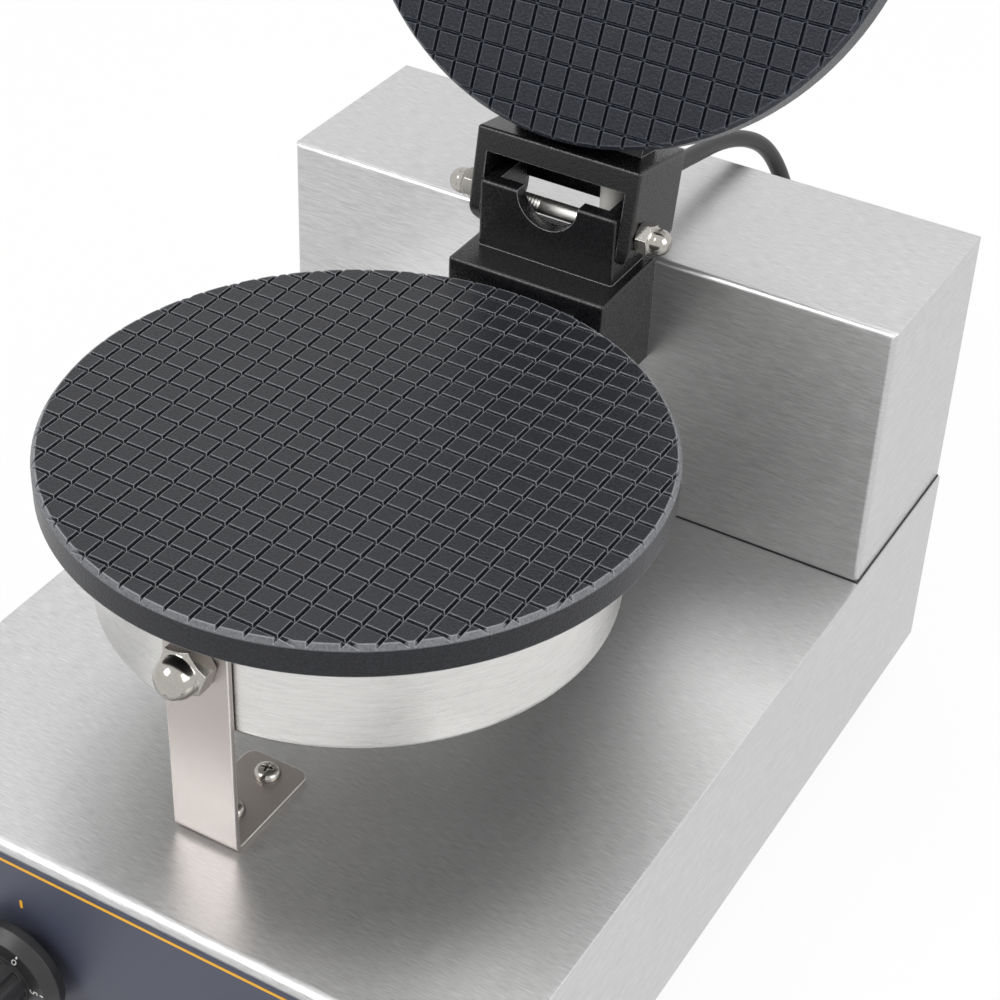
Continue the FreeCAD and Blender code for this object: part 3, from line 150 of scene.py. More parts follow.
def per_mm(size_mm: float) -> float:
    """Texture scale, in repeats per metre, of a pattern with this size in millimetres."""
    return 1 / (size_mm * MM)


@dataclass(frozen=True)
class Finish:
    """A real material with its surface.

    Attributes:
        name: material's name, by what it is and how it was made.
        colour: main sRGB colour.
        roughness: base roughness.
        metallic: one, or nearly one, for bare metal.
        grit_mm: size of the fine surface texture.
        relief_mm: height of that texture.
        mottle: how far the grit lightens and darkens the colour.
        edge: sRGB colour painted along the edges as a highlight; on the coated plates it is partly rubbed
            coat too.
        edge_share: how much of that colour shows on an edge.
        edge_mm: width of the rounded edge that catches the light, and of the painted highlight on it.
    """

    name: str
    colour: str
    roughness: float = 0.5
    metallic: float = 0.0
    grit_mm: float = 0.8
    relief_mm: float = 0.02
    mottle: float = 0.1
    edge: str = "#808080"
    edge_share: float = 0.0
    edge_mm: float = 0.4

    def grain(self, tree: Tree) -> Socket:
        """Fine surface texture of this finish.

        Args:
            tree: the material's node tree.

        Returns:
            Socket from zero to one.
        """
        place = add(tree, "ShaderNodeTexCoord")
        noise = add(tree, "ShaderNodeTexNoise", {
            "Vector": place.outputs["Object"], "Scale": per_mm(self.grit_mm), "Detail": 3.0, "Roughness": 0.6,
        })
        return self.crisp(tree, noise.outputs["Fac"], GRIT_RANGE)

    def crisp(self, tree: Tree, texture: Socket, kept: Pair) -> Socket:
        """Texture with the middle of its range stretched to full contrast.

        Args:
            tree: the material's node tree.
            texture: the texture's socket.
            kept: part of its range that is stretched.

        Returns:
            Socket from zero to one.
        """
        crisp = add(tree, "ShaderNodeMapRange", {"Value": texture, "From Min": kept[0], "From Max": kept[1]})
        return crisp.outputs[0]

    def build(self) -> bpy.types.Material:
        """Make the material's nodes.

        Returns:
            The finished material.
        """
        made = bpy.data.materials.new(self.name)
        tree = emptied(made)
        grain = self.grain(tree)
        main = linear(self.colour)
        low = tuple(part * (1 - self.mottle) for part in main[:3]) + (1.0,)
        high = tuple(min(1.0, part * (1 + self.mottle)) for part in main[:3]) + (1.0,)
        tint = add(tree, "ShaderNodeMix", {"Factor": grain, 6: low, 7: high}, data_type="RGBA")
        soft = add(tree, "ShaderNodeBevel", {"Radius": self.edge_mm * MM}, samples=4)
        colour = tint.outputs[2]
        # Painted highlight along the edges; on the coated plates it stands partly for rubbed coat.
        if self.edge_share:
            colour = self.edges(tree, colour, soft.outputs[0])
        rough = add(tree, "ShaderNodeMapRange", {
            "Value": grain, "To Min": self.roughness * (1 - ROUGH_SPREAD),
            "To Max": min(1.0, self.roughness * (1 + ROUGH_SPREAD)),
        })
        relief = add(tree, "ShaderNodeBump", {
            "Height": grain, "Distance": self.relief_mm * MM, "Strength": 1.0, "Normal": soft.outputs[0],
        })
        shader = add(tree, "ShaderNodeBsdfPrincipled", {
            "Base Color": self.wear_and_highlight(tree, colour, grain), "Roughness": rough.outputs[0],
            "Metallic": self.metallic, "Normal": relief.outputs[0],
        })
        self.extra(shader)
        add(tree, "ShaderNodeOutputMaterial", {"Surface": shader.outputs[0]})
        return made

    def edges(self, tree: Tree, colour: Socket, soft: Socket) -> Socket:
        """Colour with a painted highlight where the rounded normal leaves the true one; on the coated plates
        partly rubbed coat.

        Args:
            tree: the material's node tree.
            colour: colour away from the edges.
            soft: normal rounded over the edges.

        Returns:
            Colour socket.
        """
        true = add(tree, "ShaderNodeNewGeometry").outputs["Normal"]
        turn = add(tree, "ShaderNodeVectorMath", {0: soft, 1: true}, operation="DOT_PRODUCT")
        share = add(tree, "ShaderNodeMapRange", {
            "Value": turn.outputs["Value"], "From Min": EDGE_TURN[0], "From Max": EDGE_TURN[1],
            "To Min": 0.0, "To Max": self.edge_share,
        })
        lit_and_worn = add(tree, "ShaderNodeMix", {
            "Factor": share.outputs[0], 6: colour, 7: linear(self.edge),
        }, data_type="RGBA")
        return lit_and_worn.outputs[2]

    def wear_and_highlight(self, tree: Tree, colour: Socket, grain: Socket) -> Socket:
        """Colour after use, with any painted highlight; the plain finish keeps its own."""
        return colour

    def extra(self, shader: bpy.types.Node) -> None:
        """Set further values on the shader; the plain finish has none."""


@dataclass(frozen=True)
class Brushed(Finish):
    """Stainless sheet brushed one way: short fine scratches that stretch each reflection.

    Attributes:
        streak_mm: length of a scratch.
        along: axis of the scratches on faces that lie along it.
        across_sides: axis of the scratches on the sheet's side faces.
    """

    streak_mm: float = 30.0
    along: str = "X"
    across_sides: str = "Y"

    def streaks(self, tree: Tree, axis: str) -> Socket:
        """Scratches along one axis.

        Args:
            tree: the material's node tree.
            axis: X, Y or Z.

        Returns:
            Socket from zero to one.
        """
        place = add(tree, "ShaderNodeTexCoord")
        scale = [per_mm(self.grit_mm)] * 3
        scale["XYZ".index(axis)] = per_mm(self.streak_mm)
        stretch = add(tree, "ShaderNodeMapping", {"Vector": place.outputs["Object"], "Scale": scale})
        noise = add(tree, "ShaderNodeTexNoise", {
            "Vector": stretch.outputs[0], "Scale": 1.0, "Detail": 2.0, "Roughness": 0.7,
        })
        return noise.outputs["Fac"]

    def grain(self, tree: Tree) -> Socket:
        """Scratches that keep to the sheet's own direction on each face.

        Args:
            tree: the material's node tree.

        Returns:
            Socket from zero to one.
        """
        geometry = add(tree, "ShaderNodeNewGeometry")
        parts = add(tree, "ShaderNodeSeparateXYZ", {0: geometry.outputs["True Normal"]})
        size = add(tree, "ShaderNodeMath", {0: parts.outputs["X"]}, operation="ABSOLUTE")
        side = add(tree, "ShaderNodeMath", {0: size.outputs[0], 1: SIDE_NORMAL}, operation="GREATER_THAN")
        along, across = (self.streaks(tree, axis) for axis in (self.along, self.across_sides))
        mixed = add(tree, "ShaderNodeMix", {"Factor": side.outputs[0], 2: along, 3: across})
        return self.crisp(tree, mixed.outputs[0], SCRATCH_RANGE)


@dataclass(frozen=True)
class Turned(Finish):
    """Finish of a round piece, laid out round the piece's own axis.

    Attributes:
        middle: a point of the axis, in metres.
        lean_deg: lean of the axis from upright, about X.
    """

    middle: Point = (0.0, 0.0, 0.0)
    lean_deg: float = 0.0

    def around(self, tree: Tree) -> tuple[Socket, Socket]:
        """Place in the piece's own frame, and distance from its axis.

        Args:
            tree: the material's node tree.

        Returns:
            Vector socket and distance socket, in metres.
        """
        place = add(tree, "ShaderNodeTexCoord")
        local = add(tree, "ShaderNodeMapping", {
            "Vector": place.outputs["Object"], "Location": self.middle,
            "Rotation": (math.radians(self.lean_deg), 0.0, 0.0),
        }, vector_type="TEXTURE")
        flat = add(tree, "ShaderNodeVectorMath", {
            0: local.outputs[0], 1: (1.0, 1.0, 0.0),
        }, operation="MULTIPLY")
        reach = add(tree, "ShaderNodeVectorMath", {0: flat.outputs[0]}, operation="LENGTH")
        return local.outputs[0], reach.outputs["Value"]


@dataclass(frozen=True)
class Spun(Turned):
    """Steel brushed while it turned: fine scratches round its own axis.

    Attributes:
        ring_mm: radius at which a scratch has its full length.
        streak_mm: length of a scratch.
    """

    ring_mm: float = 88.0
    streak_mm: float = 9.0

    def grain(self, tree: Tree) -> Socket:
        """Scratches round the axis.

        Args:
            tree: the material's node tree.

        Returns:
            Socket from zero to one.
        """
        local, reach = self.around(tree)
        x, y, z = add(tree, "ShaderNodeSeparateXYZ", {0: local}).outputs
        turn = add(tree, "ShaderNodeMath", {0: x, 1: y}, operation="ARCTAN2").outputs[0]
        fine = per_mm(self.grit_mm)
        scaled = [
            add(tree, "ShaderNodeMath", {0: way, 1: scale}, operation="MULTIPLY").outputs[0]
            for way, scale in ((turn, self.ring_mm / self.streak_mm), (reach, fine), (z, fine))
        ]
        polar = add(tree, "ShaderNodeCombineXYZ", dict(enumerate(scaled)))
        noise = add(tree, "ShaderNodeTexNoise", {
            "Vector": polar.outputs[0], "Scale": 1.0, "Detail": 2.0, "Roughness": 0.7,
        })
        return self.crisp(tree, noise.outputs["Fac"], SCRATCH_RANGE)


@dataclass(frozen=True)
class NonStick(Turned):
    """Fluoropolymer coat on a machined plate, lighter along the slope at the plate's rim: partly rubbed
    through, partly a painted highlight.

    Attributes:
        slope_mm: radii between which the slope lies.
        rim_rub_and_highlight: how much of the lighter colour, rubbed coat and painted highlight, shows there.
        least: part of that which shows where the coat is least rubbed.
        index: refractive index of a fluoropolymer.
    """

    slope_mm: Pair = (101.3, 102.9)
    rim_rub_and_highlight: float = 0.7
    least: float = 0.6
    index: float = 1.35

    def wear_and_highlight(self, tree: Tree, colour: Socket, grain: Socket) -> Socket:
        """Colour with the rim's slope lighter: partly rubbed coat, partly a painted highlight.

        Args:
            tree: the material's node tree.
            colour: colour of the whole coat.
            grain: fine texture that breaks up the rubbed band.

        Returns:
            Colour socket.
        """
        reach = self.around(tree)[1]
        inner, outer = (radius * MM for radius in self.slope_mm)
        past = add(tree, "ShaderNodeMath", {0: reach, 1: inner}, operation="GREATER_THAN")
        before = add(tree, "ShaderNodeMath", {0: reach, 1: outer}, operation="LESS_THAN")
        band = add(tree, "ShaderNodeMath", {0: past.outputs[0], 1: before.outputs[0]}, operation="MULTIPLY")
        patchy = add(tree, "ShaderNodeMapRange", {
            "Value": grain, "To Min": self.rim_rub_and_highlight * self.least, "To Max": self.rim_rub_and_highlight,
        })
        share = add(tree, "ShaderNodeMath", {0: band.outputs[0], 1: patchy.outputs[0]}, operation="MULTIPLY")
        # Lighter rim slope: partly rubbed coat, partly a painted highlight.
        rubbed = add(tree, "ShaderNodeMix", {
            "Factor": share.outputs[0], 6: colour, 7: linear(self.edge),
        }, data_type="RGBA")
        return rubbed.outputs[2]

    def extra(self, shader: bpy.types.Node) -> None:
        """Low index of a fluoropolymer."""
        shader.inputs["IOR"].default_value = self.index


@dataclass(frozen=True)
class Lens(Finish):
    """Clear tinted acrylic that lets the light through.

    Attributes:
        clear: how much of the light passes.
        index: refractive index of acrylic.
    """

    clear: float = 0.6
    index: float = 1.49

    def extra(self, shader: bpy.types.Node) -> None:
        """Let light through the lens."""
        shader.inputs["Transmission Weight"].default_value = self.clear
        shader.inputs["IOR"].default_value = self.index


# Folded 1.2 mm sheet, belt-brushed: short scratches stretch each highlight, drawn coarser than real to show.
# Its lighter edges are a painted highlight.
SHEET = Brushed("brushed stainless sheet", "#c6c6c6", 0.35, 0.93, 0.4, 0.012, 0.16, "#f4f4f3", 0.5, 0.8, 6.0)
# Spun pans, brushed while turning: soft rings round the wall, drawn coarser than real, and a painted
# highlight on the edges.
PAN = Spun("spun stainless pan", "#d8d7d5", 0.3, 1.0, 0.45, 0.006, 0.09, "#f4f4f3", 0.4, 0.5, LOWER_AXIS)
LID_PAN = Spun("spun stainless lid pan", "#d8d7d5", 0.3, 1.0, 0.45, 0.006, 0.09, "#f4f4f3", 0.4, 0.5,
               UPPER_AXIS, LID_LEAN)
# Bracket strip and handle bar, evenly polished: hardly a scratch, soft reflections, and a painted highlight
# on the sheared edges.
STRIP = Brushed("polished stainless strip", "#b8b1ad", 0.42, 1.0, 0.4, 0.001, 0.03, "#fbf9f6", 1.0, 0.8,
                12.0, "Z", "Z")
# Aluminium castings in black semi-gloss powder coat: a slight orange peel, and a painted highlight along the
# edges.
CASTING = Finish("black powder-coated casting", "#171719", 0.27, 0.0, 0.8, 0.04, 0.5, "#bcbec1", 0.9, 0.45)
# Machined plates with a dark non-stick coat: fine grit, drawn coarser than real; pad edges lighter, part
# rubbed, part painted highlight.
LOWER_COAT = NonStick("non-stick charcoal grid plate", "#202126", 0.32, 0.0, 0.9, 0.07, 0.5,
                      "#b9bbbf", 0.8, 0.5, LOWER_AXIS, rim_rub_and_highlight=0.36)
UPPER_COAT = NonStick("non-stick blue-black grid plate", "#1a1d26", 0.3, 0.0, 0.9, 0.07, 0.5,
                      "#9297a2", 0.6, 0.45, UPPER_AXIS, LID_LEAN, rim_rub_and_highlight=0.08)
# Printed polycarbonate overlay: an even satin slate.
OVERLAY = Finish("printed slate overlay", "#414456", 0.45, 0.0, 0.6, 0.02, 0.2)
# Screen inks: flat, opaque and a hair proud of what they are printed on.
YELLOW_INK = Finish("yellow screen ink", "#f3b42c", 0.5, 0.0, 0.4, 0.01, 0.05)
WHITE_INK = Finish("white screen ink", "#ebeae6", 0.5, 0.0, 0.4, 0.01, 0.04)
# Dials moulded in black ABS: a soft sheen and a faint painted highlight along the edges.
DIAL = Finish("moulded black ABS dial", "#262628", 0.42, 0.0, 0.5, 0.015, 0.12, "#4a4a4c", 0.3, 0.5)
# Grip moulded in phenolic resin: hard, black and glossy.
PHENOLIC = Finish("moulded phenolic grip", "#19181a", 0.25, 0.0, 2.0, 0.01, 0.15)
# Nickel-plated nuts, bolts and screws: warm clear reflections and a painted highlight along the edges.
NICKEL = Finish("nickel-plated steel", "#aeaba5", 0.15, 1.0, 0.9, 0.002, 0.06, "#f2f0ec", 0.6, 0.3)
# Zinc-plated stud: satin and pale, so that it stays light between the black castings.
ZINC = Finish("zinc-plated steel", "#e2e0dc", 0.36, 1.0, 0.6, 0.004, 0.08)
# Stop peg turned from white nylon: milky and half dull.
NYLON = Finish("white nylon", "#eceae4", 0.45, 0.0, 0.8, 0.01, 0.03)
# Moulded rubber of the feet: dull black; the same dark finish makes the strip of painted shade at the tower's
# foot.
RUBBER_AND_JOINT_SHADE = Finish("black moulded rubber and joint shade", "#202022", 0.65, 0.0, 0.6, 0.03, 0.15)
# Extruded silicone jacket: smooth black with one soft highlight along it.
JACKET = Finish("black silicone lead jacket", "#17171a", 0.38, 0.0, 0.9, 0.015, 0.15)
# Moulded nylon glands: satin black.
GLAND = Finish("black nylon gland", "#1d1d1f", 0.45, 0.0, 0.6, 0.02, 0.12)
# Moulded acrylic lens: glossy, clear amber.
AMBER = Lens("amber acrylic lens", "#e8731a", 0.12, 0.0, 1.0, 0.01, 0.08)
# Moulded cases of the controls inside: plain dull grey.
CASE = Finish("grey moulded control case", "#6c6963", 0.5, 0.0, 0.8, 0.02, 0.08)
# Moulded switch: black with a satin gleam.
SWITCH = Finish("black satin switch plastic", "#1a1a1b", 0.35, 0.0, 0.5, 0.01, 0.1)
# Heater sheath browned by heat: blotchy dull metal.
SHEATH = Finish("oxidised heater sheath", "#6e655c", 0.45, 1.0, 1.5, 0.02, 0.25)
# Pressed mineral wool: pale, rough and quite dull.
WOOL = Finish("mineral wool", "#d8cdb0", 0.95, 0.0, 1.2, 0.4, 0.25)


def placed(name: str, data: Any, place: Matrix | None = None) -> bpy.types.Object:
    """Put a new object into the scene.

    Args:
        name: object's name.
        data: its mesh, curve, camera or lamp.
        place: where its own frame stands, or none for the origin.

    Returns:
        The object.
    """
    obj = bpy.data.objects.new(name, data)
    bpy.context.scene.collection.objects.link(obj)
    if place is not None:
        obj.matrix_world = place
    return obj


class Shop:
    """Keeps one made material per finish."""

    def __init__(self) -> None:
        """Start with no materials."""
        self.made: dict[str, bpy.types.Material] = {}

    def get(self, finish: Finish) -> bpy.types.Material:
        """Material of a finish, made on first use.

        Args:
            finish: the finish.

        Returns:
            Its material.
        """
        if finish.name not in self.made:
            self.made[finish.name] = finish.build()
        return self.made[finish.name]

    def dress(self, finish: Finish, *nodes: str) -> None:
        """Give CAD nodes a finish.

        Args:
            finish: what they are made of.
            *nodes: names of the nodes.
        """
        for name in nodes:
            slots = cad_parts[name].data.materials
            if not slots:
                slots.append(None)
            for number in range(len(slots)):
                slots[number] = self.get(finish)
            log.info("dressed %s in %s", name, finish.name)

    def piece(self, name: str, mesh: bpy.types.Mesh, finish: Finish, carrier: Carrier, slot: str,
              place: Matrix | None = None) -> bpy.types.Object:
        """Add a mesh as a piece that rides on a body.

        Args:
            name: piece's name.
            mesh: its mesh, in metres.
            finish: what it is made of.
            carrier: body that it moves with.
            slot: the record's material slot; not used.
            place: where the mesh's own frame stands.

        Returns:
            The new object.
        """
        obj = placed(name, mesh, place)
        mesh.materials.clear()
        mesh.materials.append(self.get(finish))
        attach(obj, carrier.value)
        log.info("built %s", name)
        return obj


def mesh_of(name: str, work: bmesh.types.BMesh, smooth: bool = False) -> bpy.types.Mesh:
    """Turn a working mesh into mesh data.

    Args:
        name: name of the data.
        work: the working mesh, which is freed.
        smooth: whether faces are shaded smooth.

    Returns:
        The mesh data.
    """
    bmesh.ops.recalc_face_normals(work, faces=work.faces)
    for face in work.faces:
        face.smooth = smooth
    mesh = bpy.data.meshes.new(name)
    work.to_mesh(mesh)
    work.free()
    return mesh


def settled(name: str, body: bpy.types.Object, tools: Sequence[bpy.types.Object] = (),
            kinds: Sequence[str] = ()) -> bpy.types.Mesh:
    """Final mesh of an object after its boolean work. The objects themselves are removed.

    Args:
        name: name of the mesh.
        body: the object.
        tools: objects that it is joined with or cut by.
        kinds: boolean operation of each tool.

    Returns:
        The mesh data.
    """
    for tool, kind in zip(tools, kinds):
        change = body.modifiers.new(kind, "BOOLEAN")
        change.operation = kind
        change.object = tool
        change.solver = "EXACT"
    bpy.context.view_layer.update()
    mesh = bpy.data.meshes.new_from_object(body.evaluated_get(bpy.context.evaluated_depsgraph_get()))
    mesh.name = name
    for obj in (body, *tools):
        bpy.data.objects.remove(obj)
    return mesh


def turns(steps: int) -> list[float]:
    """Angles round a full turn, in radians."""
    return [2 * math.pi * step / steps for step in range(steps)]


def circle(radius: float, height: float = 0.0, steps: int = 24) -> list[Vector]:
    """Points round a circle about Z."""
    return [Vector((radius * math.cos(a), radius * math.sin(a), height)) for a in turns(steps)]


def skin(work: bmesh.types.BMesh, rings: Sequence[list[bmesh.types.BMVert]]) -> None:
    """Close a row of matching rings into a body with flat ends.

    Args:
        work: the working mesh.
        rings: rings with as many points each, in order.
    """
    work.faces.new(rings[0][::-1])
    work.faces.new(rings[-1])
    for low, high in zip(rings, rings[1:]):
        for step in range(len(low)):
            after = (step + 1) % len(low)
            work.faces.new((low[step], low[after], high[after], high[step]))


def lathe(name: str, profile: Sequence[Pair], steps: int = 32) -> bpy.types.Mesh:
    """Turn a half section about Z.

    Args:
        name: name of the mesh.
        profile: radius and height in millimetres, from the axis round to the axis.
        steps: sides of the turned form.

    Returns:
        Closed mesh in metres.
    """
    work = bmesh.new()
    rings = []
    for radius, height in profile:
        sides = steps if radius else 1
        rings.append([work.verts.new(point) for point in circle(radius * MM, height * MM, sides)])
    for low, high in zip(rings, rings[1:]):
        for step in range(steps):
            after = (step + 1) % steps
            corners = ((low, step), (low, after), (high, after), (high, step))
            unique = list(dict.fromkeys(ring[at % len(ring)] for ring, at in corners))
            if len(unique) > 2:
                work.faces.new(unique)
    return mesh_of(name, work, True)


def flat_ring(name: str, outer: Sequence[Vector], inner: Sequence[Vector], depth: float) -> bpy.types.Mesh:
    """Band between two matching closed outlines, with a little thickness.

    Args:
        name: name of the mesh.
        outer: outline in metres, in its own XY plane.
        inner: outline with as many points.
        depth: thickness in metres, towards +Z.

    Returns:
        Closed mesh.
    """
    work = bmesh.new()
    layers = []
    for height in (0.0, depth):
        layers.append([[work.verts.new((p.x, p.y, height)) for p in loop] for loop in (outer, inner)])
    (low_out, low_in), (top_out, top_in) = layers
    count = len(outer)
    for step in range(count):
        after = (step + 1) % count
        work.faces.new((low_out[step], low_out[after], low_in[after], low_in[step]))
        work.faces.new((top_out[step], top_in[step], top_in[after], top_out[after]))
        work.faces.new((low_out[step], top_out[step], top_out[after], low_out[after]))
        work.faces.new((low_in[step], low_in[after], top_in[after], top_in[step]))
    return mesh_of(name, work)


def rounded_outline(half_x: float, half_y: float, radius: float, steps: int = 6) -> list[Vector]:
    """Outline of a rectangle with round corners.

    Args:
        half_x: half its width.
        half_y: half its height.
        radius: corner radius.
        steps: parts of each corner.

    Returns:
        Points round the outline.
    """
    points = []
    for corner, (sx, sy) in enumerate(((1, 1), (-1, 1), (-1, -1), (1, -1))):
        middle = Vector((sx * (half_x - radius), sy * (half_y - radius), 0.0))
        for step in range(steps + 1):
            angle = math.pi / 2 * (corner + step / steps)
            points.append(middle + Vector((radius * math.cos(angle), radius * math.sin(angle), 0.0)))
    return points


def bar(name: str, width: float, height: float, depth: float) -> bpy.types.Mesh:
    """Small printed bar with rounded ends, standing on its own XY plane.

    Args:
        name: name of the mesh.
        width: along X, in metres.
        height: along Y.
        depth: thickness.

    Returns:
        Closed mesh.
    """
    work = bmesh.new()
    outline = rounded_outline(width / 2, height / 2, min(width, height) * BAR_ROUND)
    face = work.faces.new([work.verts.new(point) for point in outline])
    pulled = bmesh.ops.extrude_face_region(work, geom=[face])["geom"]
    raised = [item for item in pulled if isinstance(item, bmesh.types.BMVert)]
    bmesh.ops.translate(work, vec=(0, 0, depth), verts=raised)
    return mesh_of(name, work)


def figure(name: str, text: str, height: float, depth: float) -> bpy.types.Mesh:
    """Printed number as a mesh, centred on its own XY plane.

    Args:
        name: name of the mesh.
        text: the digits.
        height: height of the digits in metres.
        depth: thickness.

    Returns:
        Mesh of the digits.
    """
    curve = bpy.data.curves.new(name + "_curve", "FONT")
    curve.body = text
    curve.size = height / DIGIT_SHARE
    curve.extrude = depth / 2
    curve.align_x = "CENTER"
    curve.align_y = "CENTER"
    curve.resolution_u = 3
    return settled(name, placed(name + "_holder", curve))


def facing_front(point: Point, turn_deg: float = 0.0) -> Matrix:
    """Frame on a front face: its X to the right, its Y up and its Z towards the viewer at the front.

    Args:
        point: where it stands, in metres.
        turn_deg: clockwise turn seen from the front.

    Returns:
        The frame's matrix.
    """
    upright = Matrix(((1, 0, 0), (0, 0, -1), (0, 1, 0))).to_4x4()
    return Matrix.Translation(point) @ upright @ Matrix.Rotation(math.radians(-turn_deg), 4, "Z")


@dataclass
class Assembly:
    """Pieces that are built together.

    Attributes:
        shop: where their finishes come from.
    """

    shop: Shop


@dataclass
class SteelBody(Assembly):
    """Folded base and tower with their covers, feet and glands.

    Attributes:
        shade_strip_mm: radius of the dark strip of painted shade in the joint round the tower's foot.
        shade_strip_steps: parts of the strip's round.
    """

    shade_strip_mm: float = 0.5
    shade_strip_steps: int = 4

    def joint_shade_strip(self) -> None:
        """Dark strip of painted shade in the joint where the tower stands on the deck, on its front and
        sides.
        """
        low, high = (Vector(corner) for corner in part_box("tower_shell"))
        width = self.shade_strip_mm * MM
        quarter = [math.pi / 2 * step / self.shade_strip_steps for step in range(self.shade_strip_steps + 1)]
        work = bmesh.new()
        rings = []
        for x, y, way in (
            (low.x, high.y, Vector((-1, 0, 0))),
            (low.x, low.y, Vector((-1, -1, 0))),
            (high.x, low.y, Vector((1, -1, 0))),
            (high.x, high.y, Vector((1, 0, 0))),
        ):
            corner = Vector((x, y, low.z))
            arc = [corner + way * width * math.cos(a) + Vector((0, 0, width * math.sin(a))) for a in quarter]
            rings.append([work.verts.new(point) for point in (corner, *arc)])
        skin(work, rings)
        # A dark strip that paints the shade in the crease at the tower's foot.
        self.shop.piece("tower_joint_shade", mesh_of("tower_joint_shade", work), RUBBER_AND_JOINT_SHADE, Carrier.BASE, "brushed_sheet")

    def build(self) -> None:
        """Dress the sheet metal and what stands in it."""
        self.joint_shade_strip()
        self.shop.dress(SHEET, "base_shell", "tower_shell", "rear_panel", "bottom_cover")
        self.shop.dress(RUBBER_AND_JOINT_SHADE, "foot_1", "foot_2", "foot_3", "foot_4")
        self.shop.dress(GLAND, "mains_gland", "base_lead_gland", "lid_lead_gland")
        self.shop.dress(CASE, "timer", "thermostat", "terminal_block")


@dataclass
class GridPlates(Assembly):
    """The two grid plates with their pans, heaters and bolts."""

    def build(self) -> None:
        """Dress the plates and what hangs on them."""
        self.shop.dress(LOWER_COAT, "lower_plate")
        self.shop.dress(UPPER_COAT, "upper_plate")
        self.shop.dress(PAN, "lower_pan", "conduit")
        self.shop.dress(LID_PAN, "upper_pan")
        self.shop.dress(STRIP, "front_bracket", "handle_bar")
        self.shop.dress(SHEATH, "lower_element", "upper_element")
        self.shop.dress(WOOL, "lower_wool", "upper_wool")
        self.shop.dress(NICKEL, "pan_bolt")
        self.shop.dress(PHENOLIC, "handle_grip")


@dataclass
class Hinge(Assembly):
    """Cast hinge with its threaded stud, bolts and stop peg.

    Attributes:
        half_mm: half the stud's length.
        crest_mm: thread's outer radius.
        root_mm: thread's inner radius.
        pitch_mm: thread's pitch, drawn a little coarser than an M6 thread so that it shows.
        flank: part of the pitch that each flank takes.
        thread_end_mm: where the thread ends, right of the middle; the rest is smooth shank.
        sides: sides of the stud.
    """

    half_mm: float = 38.2
    crest_mm: float = 2.99
    root_mm: float = 2.45
    pitch_mm: float = 1.2
    flank: float = 0.4
    thread_end_mm: float = -7.0
    sides: int = 24

    def build(self) -> None:
        """Dress the castings and cut the stud's thread."""
        self.shop.dress(CASTING, "hinge_block", "hinge_yoke")
        self.shop.dress(NYLON, "stop_peg")
        for side in ("left", "right"):
            self.shop.dress(NICKEL, "yoke_bolt_" + side, "tower_bolt_" + side, "plate_bolt_" + side)
        self.stud()

    def stud(self) -> None:
        """Threaded stud in place of the plain one."""
        flank = self.flank * self.pitch_mm
        height = -self.half_mm
        profile = [(0.0, height)]
        while height < self.thread_end_mm - self.pitch_mm:
            profile += [(self.root_mm, height), (self.crest_mm, height + flank)]
            height += self.pitch_mm
            profile.append((self.crest_mm, height - flank))
        profile += [(self.root_mm, height), (self.crest_mm, height + flank)]
        profile += [(self.crest_mm, self.half_mm), (0.0, self.half_mm)]
        place = Matrix.Translation(PIVOT) @ Matrix.Rotation(math.pi / 2, 4, "Y")
        mesh = lathe("stud_thread", profile, self.sides)
        stud = self.shop.piece("threaded_stud", mesh, ZINC, Carrier.LID, "bright_steel", place)
        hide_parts("hinge_stud")


